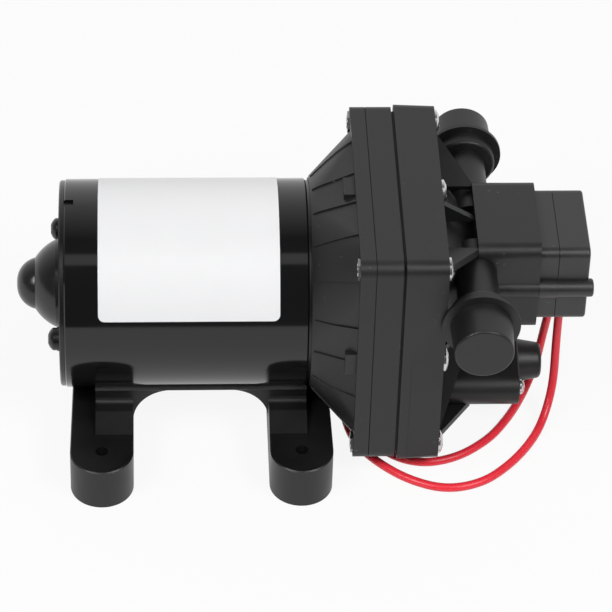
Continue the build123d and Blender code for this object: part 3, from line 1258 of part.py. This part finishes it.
def make_switch_spring():
    start = plunger_x() + SWITCH_WALL + PLUNGER_THICKNESS + SEAT_GAP
    end = SWITCH_END_X - ADJUSTER_LENGTH - SEAT_GAP
    return helix_spring(start, end, SWITCH_SPRING_RADIUS - SWITCH_SPRING_WIRE, SWITCH_SPRING_WIRE,
                        SWITCH_SPRING_TURNS, 0, SENSE_RISE)


def make_adjusting_screw():
    """Grub screw in the cover that sets the spring's load, with a hexagon socket."""
    start = SWITCH_END_X - ADJUSTER_LENGTH
    screw = disc(start, SWITCH_END_X - SWITCH_PARTING, ADJUSTER_RADIUS, 0, SENSE_RISE)
    hexagon = RegularPolygon(ADJUSTER_HEX / 2, 6, major_radius=False)
    socket = Plane.YZ.offset(SWITCH_END_X - ADJUSTER_HEX_DEPTH) * Pos(0, SENSE_RISE + AXIS_HEIGHT) * hexagon
    return screw - extrude(socket, amount=ADJUSTER_HEX_DEPTH + OVERRUN)


def make_bypass_cover():
    """Oval cover plate over the bypass spring, with a boss that locates the rubber knob."""
    outline = bypass_outline(BYPASS_END_X, BYPASS_BARREL_RADIUS + BYPASS_PLATE_RIM, BYPASS_EAR_RADIUS)
    plate = extrude(outline, amount=BYPASS_PLATE)
    plate = chamfer(plate.edges().group_by(Axis.X)[-1], BYPASS_PLATE_RIM)
    boss_radius = KNOB_TIP_RADIUS - KNOB_WALL
    plate += disc(BYPASS_KNOB_X, BYPASS_KNOB_X + KNOB_LENGTH - 2 * KNOB_WALL, boss_radius - SEAT_GAP, 0, -BYPASS_DROP)
    plate -= disc(BYPASS_END_X - OVERRUN, BYPASS_KNOB_X + KNOB_LENGTH - 3 * KNOB_WALL,
                  POPPET_STEM_RADIUS + LOOSE_GAP, 0, -BYPASS_DROP)
    for side in (-1, 1):
        plate -= disc(BYPASS_END_X - OVERRUN, BYPASS_KNOB_X + OVERRUN, BYPASS_SCREW_RADIUS + SEAT_GAP,
                      side * BYPASS_EAR_OFFSET, -BYPASS_DROP)
    return plate


def make_bypass_knob():
    """Tapered rubber cap over the bypass adjuster's boss."""
    start = BYPASS_KNOB_X
    low = Plane.YZ.offset(start) * Pos(0, AXIS_HEIGHT - BYPASS_DROP) * Circle(KNOB_RADIUS)
    high = Plane.YZ.offset(start + KNOB_LENGTH) * Pos(0, AXIS_HEIGHT - BYPASS_DROP) * Circle(KNOB_TIP_RADIUS)
    knob = loft([low, high])
    knob = fillet(knob.edges().group_by(Axis.X)[-1], KNOB_ROUND)
    boss_radius = KNOB_TIP_RADIUS - KNOB_WALL
    return knob - disc(start - OVERRUN, start + KNOB_LENGTH - 2 * KNOB_WALL + SEAT_GAP, boss_radius, 0, -BYPASS_DROP)


def make_bypass_screws():
    screws = Part()
    for side in (-1, 1):
        y = side * BYPASS_EAR_OFFSET
        screw = pan_head(BYPASS_KNOB_X, BYPASS_SCREW_HEAD_RADIUS, BYPASS_SCREW_HEAD_HEIGHT, 1, y, -BYPASS_DROP)
        screw += disc(BYPASS_END_X - SHORT_SCREW_HOLD, BYPASS_KNOB_X, BYPASS_SCREW_RADIUS, y, -BYPASS_DROP)
        screws += screw
    return screws


def make_bypass_poppet():
    start = POPPET_SEAT_X + SEAT_GAP
    poppet = disc(start, start + POPPET_THICKNESS, POPPET_RADIUS, 0, -BYPASS_DROP)
    return poppet + disc(start, start + POPPET_STEM_LENGTH, POPPET_STEM_RADIUS, 0, -BYPASS_DROP)


def make_bypass_spring():
    start = POPPET_SEAT_X + SEAT_GAP + POPPET_THICKNESS + SEAT_GAP
    return helix_spring(start, BYPASS_END_X - SEAT_GAP, BYPASS_SPRING_RADIUS, BYPASS_SPRING_WIRE,
                        BYPASS_SPRING_TURNS, 0, -BYPASS_DROP)


def wire_radii(points):
    """Largest arc that fits at each corner of a route: a share of its shorter run."""
    radii = []
    for index in range(1, len(points) - 1):
        before = points[index] - points[index - 1]
        after = points[index + 1] - points[index]
        turn = math.radians(before.get_angle(after))
        shorter = min(before.length, after.length)
        radii.append(ARC_SHARE * shorter / math.tan(turn / 2))
    return radii


def make_wire(name, start, route, end):
    """Insulated wire that leaves the switch downward and enters its sleeve along the sleeve."""
    lean = math.radians(SLEEVE_LEAN)
    out = Vector(0, math.sin(lean), -math.cos(lean))
    first = start - Vector(0, 0, WIRE_LEAD)
    last = end + out * WIRE_LEAD
    points = [start, first] + [Vector(*point) for point in route] + [last, end]
    radii = wire_radii(points)
    path = FilletPolyline(*points, radius=radii)
    section = Plane(origin=start, z_dir=(0, 0, -1)) * Circle(WIRE_RADIUS)
    wire = sweep(section, path=path)
    ideal = math.pi * WIRE_RADIUS ** 2 * path.length
    runs = [(after - before).length for before, after in zip(points, points[1:])]
    print(name, "length", round(path.length, 1), "volume against section x length", round(wire.volume / ideal, 4))
    print(name, "radii", [round(radius, 1) for radius in radii])
    print(name, "runs", [round(run, 1) for run in runs])
    print(name, "points", [tuple(round(value, 2) for value in point) for point in points])
    return wire


def wire_ends():
    """Where each wire leaves the switch and where it enters the boot."""
    switch_z = AXIS_HEIGHT + SWITCH_BOTTOM
    lean = math.radians(SLEEVE_LEAN)
    boot_y = SLEEVE_REACH * math.sin(lean)
    boot_z = AXIS_HEIGHT - SLEEVE_REACH * math.cos(lean)
    starts = [Vector(x, y, switch_z) for x, y in (SWITCH_WIRE_A, SWITCH_WIRE_B)]
    ends = [Vector(CAP_REAR_X - offset, boot_y, boot_z) for offset in reversed(SLEEVE_X)]
    return starts, ends


def build():
    starts, ends = wire_ends()
    return {
        "motor_can": make_motor_can(),
        "motor_label": make_label(),
        "mounting_base": make_mounting_base(),
        "rear_end_cap": make_rear_end_cap(),
        "wire_boot": make_wire_boot(),
        "through_bolts": make_through_bolts(),
        "rear_bearing": make_ball_bearing(CAP_REAR_X - BEARING_WIDTH, BEARING_WIDTH, BEARING_RADIUS, SHAFT_RADIUS + RUNNING_GAP),
        "front_bearing": make_ball_bearing(FRONT_BEARING_X, BEARING_WIDTH, BEARING_RADIUS, SHAFT_RADIUS + RUNNING_GAP),
        "front_plate": make_front_plate(),
        "magnets": make_magnets(),
        "rotor_shaft": make_rotor_shaft(),
        "armature_core": make_armature_core(),
        "armature_windings": make_armature_windings(),
        "commutator": make_commutator(),
        "brush_upper": make_brush(1),
        "brush_lower": make_brush(-1),
        "brush_spring_upper": make_brush_spring(1),
        "brush_spring_lower": make_brush_spring(-1),
        "brush_card": make_brush_card(),
        "adapter_housing": make_adapter_housing(),
        "eccentric_cam": make_cam(),
        "cam_bearing": make_cam_bearing(),
        "wobble_plate": make_wobble_plate(),
        "piston_clamps": make_piston_clamps(),
        "middle_housing": make_middle_housing(),
        "diaphragm": make_diaphragm(),
        "valve_plate": make_valve_plate(),
        "inlet_valves": make_inlet_valves(),
        "outlet_valve": make_outlet_valve(),
        "upper_housing": make_upper_housing(),
        "head_screws": make_head_screws(),
        "corner_nuts": make_corner_nuts(),
        "near_port_cap": make_port_cap(-1),
        "far_port_cap": make_port_cap(1),
        "switch_diaphragm": make_switch_diaphragm(),
        "switch_body": make_switch_body(),
        "switch_cover": make_switch_cover(),
        "switch_screws": make_switch_screws(),
        "switch_plunger": make_switch_plunger(),
        "switch_spring": make_switch_spring(),
        "adjusting_screw": make_adjusting_screw(),
        "microswitch": make_microswitch(),
        "micro_button": make_micro_button(),
        "bypass_cover": make_bypass_cover(),
        "bypass_knob": make_bypass_knob(),
        "bypass_screws": make_bypass_screws(),
        "bypass_poppet": make_bypass_poppet(),
        "bypass_spring": make_bypass_spring(),
        "wire_a": make_wire("wire_a", starts[0], WIRE_A_ROUTE, ends[0]),
        "wire_b": make_wire("wire_b", starts[1], WIRE_B_ROUTE, ends[1]),
    }


os.makedirs("parts", exist_ok=True)
for node, solid in build().items():
    export_step(solid, "parts/" + node + ".step")
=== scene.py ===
import json
import math

import bpy
from mathutils import Matrix, Vector


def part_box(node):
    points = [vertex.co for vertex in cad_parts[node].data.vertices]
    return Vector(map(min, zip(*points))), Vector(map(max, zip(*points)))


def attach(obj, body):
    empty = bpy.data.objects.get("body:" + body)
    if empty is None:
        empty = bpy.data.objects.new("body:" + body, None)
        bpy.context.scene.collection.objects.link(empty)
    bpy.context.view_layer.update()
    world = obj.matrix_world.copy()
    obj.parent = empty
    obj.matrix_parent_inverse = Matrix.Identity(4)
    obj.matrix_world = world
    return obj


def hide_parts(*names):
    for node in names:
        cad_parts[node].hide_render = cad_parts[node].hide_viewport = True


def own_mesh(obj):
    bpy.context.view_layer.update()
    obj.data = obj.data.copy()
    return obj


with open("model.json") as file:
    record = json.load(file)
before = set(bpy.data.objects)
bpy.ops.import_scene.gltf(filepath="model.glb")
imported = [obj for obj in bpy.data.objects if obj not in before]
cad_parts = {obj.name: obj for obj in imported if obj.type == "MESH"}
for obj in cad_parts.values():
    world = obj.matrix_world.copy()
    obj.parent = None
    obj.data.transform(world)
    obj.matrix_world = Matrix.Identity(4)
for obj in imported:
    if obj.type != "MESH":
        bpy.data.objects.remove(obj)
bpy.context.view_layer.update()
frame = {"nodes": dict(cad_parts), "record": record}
nodes = frame["nodes"]
slots = {entry["node"]: entry["material_slot"] for entry in frame["record"]["subparts"]}

# Lengths are in metres, apart from the leads' points, which are in millimetres.
MM_PER_M = 1000
WHITE = (1, 1, 1, 1)

# Surface texture: a soft cloud that varies colour and roughness, a fine grain, and specks of dust.
NO_STRETCH = (1, 1, 1)
CLOUD_SCALE, CLOUD_DETAIL = 60.0, 3.0
CLOUD_START, CLOUD_END = 0.3, 0.7
GRAIN_DETAIL = 2.0
GRAIN_DEPTH = 0.00005
DUST_SCALE, DUST_DETAIL = 520.0, 1.0
DUST_START, DUST_END = 0.77, 0.81
DUST_GREY = (0.055, 0.055, 0.055)

WIRE_DIAMETER = 0.0032
WIRE_BEVEL_STEPS = 6
WIRE_LENGTH_STEPS = 10
WIRE_ORDER = 3

# Both leads run from the switch over the floor behind the base to the boot at the rear.
WIRE_A_POINTS = [
    (131.2, 9.6, 52.05), (131.2, 9.6, 41.05), (130.5, 11.4, 29.0), (129.2, 13.0, 15.4),
    (127.1, 8.5, 6.7), (123.1, 0.7, 1.7), (118.2, -10.4, 1.7), (112.7, -19.8, 1.7),
    (106.3, -28.4, 1.7), (94.5, -37.6, 1.7), (81.0, -40.8, 1.7), (69.0, -35.8, 1.7),
    (60.8, -24.0, 1.7), (57.6, -6.0, 1.7), (58.2, 16.0, 1.7), (57.8, 38.0, 1.7),
    (57.2, 57.4, 1.7), (45.0, 70.4, 1.7), (22.0, 72.0, 1.7), (-4.0, 71.0, 1.7),
    (-28.0, 71.8, 1.7), (-47.0, 69.0, 1.7), (-58.4, 57.2, 2.4), (-62.0, 44.0, 8.6),
    (-61.4, 31.0, 19.0), (-60.25, 16.4, 32.07), (-60.25, 10.09, 41.08),
]
WIRE_B_POINTS = [
    (132.0, -5.0, 52.05), (132.0, -5.0, 41.05), (131.9, -5.8, 29.0), (131.7, -9.5, 15.4),
    (129.9, -14.1, 6.7), (126.3, -22.0, 1.7), (120.8, -32.2, 1.7), (113.2, -42.0, 1.7),
    (103.0, -51.0, 1.7), (89.5, -54.4, 1.7), (76.5, -49.6, 1.7), (65.5, -40.6, 1.7),
    (57.0, -29.6, 1.7), (53.2, -14.0, 1.7), (53.6, 8.0, 1.7), (53.0, 32.0, 1.7),
    (53.2, 55.4, 1.7), (43.0, 66.0, 1.7), (21.0, 67.0, 1.7), (-4.0, 66.2, 1.7),
    (-26.0, 67.0, 1.7), (-43.0, 65.6, 1.7), (-53.0, 55.6, 2.4), (-57.2, 43.2, 8.6),
    (-57.0, 30.4, 19.0), (-55.95, 16.4, 32.07), (-55.95, 10.09, 41.08),
]

# Lead, CAD node that it replaces, points that guide its line, and length of that line.
LEADS = [
    ("lead_a", "wire_a", WIRE_A_POINTS, 0.4121),
    ("lead_b", "wire_b", WIRE_B_POINTS, 0.4073),
]

# Joint, axis, place of the fixed end, and travel of each spring, which in the real pump shortens
# towards its fixed end.
X_AXIS, Z_AXIS = 0, 2
SPRINGS = {
    "brush_spring_upper": ("brush_upper_slide", Z_AXIS, 0.0834, 0.004),
    "brush_spring_lower": ("brush_lower_slide", Z_AXIS, 0.0276, 0.004),
    "switch_spring": ("switch_plunger_slide", X_AXIS, 0.1354, 0.0008),
    "bypass_spring": ("bypass_poppet_lift", X_AXIS, 0.115, 0.002),
}

# The floor ends in front of the pump, so that the can's lower side mirrors the dim world there.
FLOOR_HALF = 4.0
FLOOR_FRONT = -0.45
FLOOR_HEIGHT = -0.0001
FLOOR_GREY = (0.80, 0.80, 0.80, 1)
# Share of the floor that is seen as plain white. The rest is lit, and keeps the pump's shadow.
SHADOWLESS_SHARE = 0.9

BACKDROP_STRENGTH = 1.0
WORLD_STRENGTH = 0.10
# Mirrored rays see the backdrop behind the pump, in full from this Y of their direction on.
BACKDROP_FULL = 0.9

# Name, place, width, height, power, and whether the lamp itself shows in gloss.
LIGHT_TARGET = (0.04, 0.0, 0.05)
LIGHTS = [
    ("left", (-0.62, -0.68, 1.02), 0.55, 0.55, 9.6, True),
    ("right", (0.70, -0.68, 1.02), 0.55, 0.55, 9.6, True),
    ("strip", (0.04, -0.62, 1.45), 1.8, 0.32, 1.3, True),
    ("back", (0.04, 1.50, 0.62), 2.6, 1.1, 7.0, False),
    ("back_high", (0.04, 0.95, 1.40), 2.4, 0.9, 3.4, False),
]

# The camera that was fitted to the photo.
CAMERA_PLACE = (-0.01911, -0.98956, 0.91993)
CAMERA_FORWARD = (0.04387, 0.74790, -0.66236)
CAMERA_ROLL_DEGREES = 1.88
CAMERA_SENSOR = 36.0
CAMERA_LENS = 211.2
CAMERA_CLIP_START, CAMERA_CLIP_END = 0.05, 20.0


def empty_tree(owner, output_type):
    """Give a material or a world an empty node tree with its output."""
    owner.use_nodes = True
    tree = owner.node_tree
    tree.nodes.clear()
    return tree, tree.nodes.new(output_type)


def feed(tree, socket, value):
    """Link another node's output to the socket, or set the socket to a plain value."""
    if isinstance(value, bpy.types.NodeSocket):
        tree.links.new(value, socket)
    else:
        socket.default_value = value


def noise(tree, scale, detail, stretch=NO_STRETCH):
    place = tree.nodes.new("ShaderNodeTexCoord")
    mapping = tree.nodes.new("ShaderNodeMapping")
    mapping.inputs["Scale"].default_value = stretch
    texture = tree.nodes.new("ShaderNodeTexNoise")
    texture.inputs["Scale"].default_value = scale
    texture.inputs["Detail"].default_value = detail
    tree.links.new(place.outputs["Object"], mapping.inputs["Vector"])
    tree.links.new(mapping.outputs["Vector"], texture.inputs["Vector"])
    return texture.outputs["Fac"]


def ramp(tree, value, low, high, start=CLOUD_START, end=CLOUD_END):
    node = tree.nodes.new("ShaderNodeMapRange")
    node.inputs["From Min"].default_value = start
    node.inputs["From Max"].default_value = end
    node.inputs["To Min"].default_value = low
    node.inputs["To Max"].default_value = high
    tree.links.new(value, node.inputs["Value"])
    return node.outputs["Result"]


def blend(tree, share, under, over):
    node = tree.nodes.new("ShaderNodeMix")
    node.data_type = "RGBA"
    feed(tree, node.inputs["Factor"], share)
    feed(tree, node.inputs["A"], under)
    feed(tree, node.inputs["B"], over)
    return node.outputs["Result"]


def combine(tree, operation, first, second):
    node = tree.nodes.new("ShaderNodeMath")
    node.operation = operation
    feed(tree, node.inputs[0], first)
    feed(tree, node.inputs[1], second)
    return node.outputs["Value"]


def bump(tree, shader, height, strength):
    node = tree.nodes.new("ShaderNodeBump")
    node.inputs["Strength"].default_value = strength
    node.inputs["Distance"].default_value = GRAIN_DEPTH
    tree.links.new(height, node.inputs["Height"])
    tree.links.new(node.outputs["Normal"], shader.inputs["Normal"])


def surface(name, colour, rough, metal=0.0, spread=0.12, rough_spread=0.05, grain=900.0,
            relief=0.15, specular=0.5, stretch=NO_STRETCH, dust=None):
    """Colour and roughness that vary a little, with a fine grain and, if asked, specks of dust."""
    material = bpy.data.materials.new(name)
    tree, output = empty_tree(material, "ShaderNodeOutputMaterial")
    shader = tree.nodes.new("ShaderNodeBsdfPrincipled")
    tree.links.new(shader.outputs["BSDF"], output.inputs["Surface"])
    cloud = noise(tree, CLOUD_SCALE, CLOUD_DETAIL, stretch)
    dark = tuple(c * (1 - spread) for c in colour)
    light = tuple(min(1.0, c * (1 + spread)) for c in colour)
    base = blend(tree, ramp(tree, cloud, 0.0, 1.0), (*dark, 1), (*light, 1))
    if dust:
        specks = ramp(tree, noise(tree, DUST_SCALE, DUST_DETAIL), 0.0, 1.0, DUST_START, DUST_END)
        base = blend(tree, specks, base, (*dust, 1))
    roughness = ramp(tree, cloud, rough - rough_spread, rough + rough_spread)
    tree.links.new(base, shader.inputs["Base Color"])
    tree.links.new(roughness, shader.inputs["Roughness"])
    shader.inputs["Metallic"].default_value = metal
    shader.inputs["Specular IOR Level"].default_value = specular
    bump(tree, shader, noise(tree, grain, GRAIN_DETAIL, stretch), relief)
    return material


LOOKS = {
    "can_black": dict(colour=(0.0045, 0.0045, 0.005), rough=0.11, spread=0.08, rough_spread=0.02,
                      grain=160, relief=0.02),
    "label": dict(colour=(0.82, 0.82, 0.83), rough=0.30, spread=0.006, rough_spread=0.01,
                  grain=1400, relief=0.03),
    "plastic_dark": dict(colour=(0.010, 0.010, 0.0105), rough=0.44, spread=0.2, grain=2400,
                         relief=0.22, dust=DUST_GREY),
    "plastic_switch": dict(colour=(0.012, 0.012, 0.0125), rough=0.42, spread=0.2, grain=2400,
                           relief=0.2, specular=0.70, dust=DUST_GREY),
    "base_rubber": dict(colour=(0.0055, 0.0055, 0.006), rough=0.42, spread=0.2, grain=2200,
                        relief=0.25),
    "black_steel": dict(colour=(0.006, 0.006, 0.0065), rough=0.30, spread=0.2, grain=700,
                        relief=0.08),
    "bright_steel": dict(colour=(0.62, 0.62, 0.63), rough=0.24, metal=1.0, spread=0.06,
                         grain=600, relief=0.08),
    "rubber_black": dict(colour=(0.008, 0.008, 0.0085), rough=0.46, spread=0.2, grain=2600,
                         relief=0.3),
    "rubber_gloss": dict(colour=(0.017, 0.017, 0.0175), rough=0.25, spread=0.2, grain=500,
                         relief=0.05),
    "zinc_steel": dict(colour=(0.34, 0.34, 0.35), rough=0.38, metal=1.0, spread=0.1),
    "copper": dict(colour=(0.50, 0.17, 0.07), rough=0.34, metal=0.85, spread=0.18, relief=0.5),
    "core_steel": dict(colour=(0.26, 0.26, 0.28), rough=0.42, metal=0.9, stretch=(12, 1, 1),
                       relief=0.4),
    "ferrite": dict(colour=(0.05, 0.05, 0.055), rough=0.62, grain=1500, relief=0.4),
    "carbon": dict(colour=(0.03, 0.03, 0.032), rough=0.50, grain=1500, relief=0.3),
    "card": dict(colour=(0.16, 0.07, 0.035), rough=0.55, relief=0.3),
    "cap_plastic": dict(colour=(0.010, 0.010, 0.0105), rough=0.40, spread=0.2, grain=2400,
                        relief=0.14),
    "wire_red": dict(colour=(0.86, 0.030, 0.052), rough=0.34, spread=0.03, grain=300,
                     relief=0.02),
    "button_red": dict(colour=(0.5, 0.02, 0.02), rough=0.4, relief=0.1),
    "valve_rubber": dict(colour=(0.018, 0.018, 0.019), rough=0.62, grain=2200, relief=0.3),
    "clamp_white": dict(colour=(0.66, 0.65, 0.61), rough=0.48, spread=0.03, grain=1800,
                        relief=0.2),
}

# Pieces that look different in the photo from the rest of their material slot.
CLOSER_LOOKS = {
    "wire_boot": "rubber_gloss",
    "corner_nuts": "zinc_steel",
    "switch_body": "plastic_switch",
    "switch_cover": "plastic_switch",
}


def make_spring(name, joint, axis, fixed_end, travel):
    """A copy of the CAD spring, attached to the pump in place of the CAD part."""
    low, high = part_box(name)
    coil = bpy.data.objects.new(name + "_coil", nodes[name].data.copy())
    bpy.context.scene.collection.objects.link(coil)
    anchor = [(low[i] + high[i]) / 2 for i in range(3)]
    anchor[axis] = fixed_end
    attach(coil, "pump")
    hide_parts(name)
    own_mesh(coil)


def make_wire(name, points, material):
    curve = bpy.data.curves.new(name, "CURVE")
    curve.dimensions = "3D"
    curve.bevel_depth = WIRE_DIAMETER / 2
    curve.bevel_resolution = WIRE_BEVEL_STEPS
    curve.resolution_u = WIRE_LENGTH_STEPS
    curve.use_fill_caps = True
    line = curve.splines.new("NURBS")
    line.points.add(len(points) - 1)
    for point, (x, y, z) in zip(line.points, points):
        point.co = (x / MM_PER_M, y / MM_PER_M, z / MM_PER_M, 1)
    line.order_u = WIRE_ORDER
    line.use_endpoint_u = True
    curve.materials.append(material)
    wire = bpy.data.objects.new(name, curve)
    bpy.context.scene.collection.objects.link(wire)
    return wire


def ray_kinds(tree):
    """Camera rays, and the mirrored ones, which are glossy and transmission rays."""
    path = tree.nodes.new("ShaderNodeLightPath")
    glossy = path.outputs["Is Glossy Ray"]
    transmission = path.outputs["Is Transmission Ray"]
    return path.outputs["Is Camera Ray"], combine(tree, "MAXIMUM", glossy, transmission)


def mix_shaders(tree, share, plain, white, output):
    mix = tree.nodes.new("ShaderNodeMixShader")
    tree.links.new(share, mix.inputs["Fac"])
    tree.links.new(plain, mix.inputs[1])
    tree.links.new(white, mix.inputs[2])
    tree.links.new(mix.outputs["Shader"], output.inputs["Surface"])


def make_floor():
    mesh = bpy.data.meshes.new("floor")
    corners = [
        (-FLOOR_HALF, FLOOR_FRONT, FLOOR_HEIGHT), (FLOOR_HALF, FLOOR_FRONT, FLOOR_HEIGHT),
        (FLOOR_HALF, FLOOR_HALF, FLOOR_HEIGHT), (-FLOOR_HALF, FLOOR_HALF, FLOOR_HEIGHT),
    ]
    mesh.from_pydata(corners, [], [(0, 1, 2, 3)])
    floor = bpy.data.objects.new("floor", mesh)
    bpy.context.scene.collection.objects.link(floor)
    material = bpy.data.materials.new("floor_white")
    tree, output = empty_tree(material, "ShaderNodeOutputMaterial")
    paper = tree.nodes.new("ShaderNodeBsdfDiffuse")
    paper.inputs["Color"].default_value = FLOOR_GREY
    bright = tree.nodes.new("ShaderNodeEmission")
    bright.inputs["Color"].default_value = WHITE
    bright.inputs["Strength"].default_value = BACKDROP_STRENGTH
    camera_ray, mirrored = ray_kinds(tree)
    seen = combine(tree, "MAXIMUM", camera_ray, mirrored)
    share = combine(tree, "MULTIPLY", seen, SHADOWLESS_SHARE)
    mix_shaders(tree, share, paper.outputs["BSDF"], bright.outputs["Emission"], output)
    mesh.materials.append(material)


def make_background(tree, strength):
    node = tree.nodes.new("ShaderNodeBackground")
    node.inputs["Color"].default_value = WHITE
    node.inputs["Strength"].default_value = strength
    return node.outputs["Background"]


def make_world():
    """Dim for lighting, white for the camera, and white behind the pump for mirrored rays."""
    world = bpy.data.worlds.new("studio")
    bpy.context.scene.world = world
    tree, output = empty_tree(world, "ShaderNodeOutputWorld")
    soft = make_background(tree, WORLD_STRENGTH)
    white = make_background(tree, BACKDROP_STRENGTH)
    camera_ray, mirrored = ray_kinds(tree)
    place = tree.nodes.new("ShaderNodeTexCoord")
    parts = tree.nodes.new("ShaderNodeSeparateXYZ")
    tree.links.new(place.outputs["Generated"], parts.inputs["Vector"])
    behind = ramp(tree, parts.outputs["Y"], 0.0, 1.0, 0.0, BACKDROP_FULL)
    mirrored_behind = combine(tree, "MULTIPLY", mirrored, behind)
    seen = combine(tree, "MAXIMUM", camera_ray, mirrored_behind)
    mix_shaders(tree, seen, soft, white, output)


def make_light(name, place, width, height, power, shows_in_gloss):
    data = bpy.data.lights.new(name, "AREA")
    data.shape = "RECTANGLE"
    data.size = width
    data.size_y = height
    data.energy = power
    light = bpy.data.objects.new(name, data)
    light.location = place
    light.visible_glossy = shows_in_gloss
    direction = Vector(LIGHT_TARGET) - Vector(place)
    light.rotation_euler = direction.to_track_quat("-Z", "Y").to_euler()
    bpy.context.scene.collection.objects.link(light)


def make_camera():
    data = bpy.data.cameras.new("camera")
    data.sensor_width = CAMERA_SENSOR
    data.lens = CAMERA_LENS
    data.clip_start = CAMERA_CLIP_START
    data.clip_end = CAMERA_CLIP_END
    camera = bpy.data.objects.new("camera", data)
    bpy.context.scene.collection.objects.link(camera)
    forward = Vector(CAMERA_FORWARD).normalized()
    right = forward.cross(Vector((0, 0, 1))).normalized()
    up = right.cross(forward)
    roll = math.radians(CAMERA_ROLL_DEGREES)
    right_rolled = right * math.cos(roll) + up * math.sin(roll)
    up_rolled = up * math.cos(roll) - right * math.sin(roll)
    turn = Matrix((right_rolled, up_rolled, -forward)).transposed()
    camera.matrix_world = Matrix.Translation(CAMERA_PLACE) @ turn.to_4x4()
    bpy.context.scene.camera = camera


materials = {name: surface(name, **look) for name, look in LOOKS.items()}
for name, node in nodes.items():
    node.data.materials.clear()
    node.data.materials.append(materials[CLOSER_LOOKS.get(name, slots[name])])

for name, motion in SPRINGS.items():
    make_spring(name, *motion)

for name, cad_node, points, length in LEADS:
    lead = make_wire(name, points, materials["wire_red"])
    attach(lead, "pump")
    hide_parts(cad_node)

make_floor()
make_world()
for light in LIGHTS:
    make_light(*light)
make_camera()

bpy.context.scene.view_settings.view_transform = "Standard"
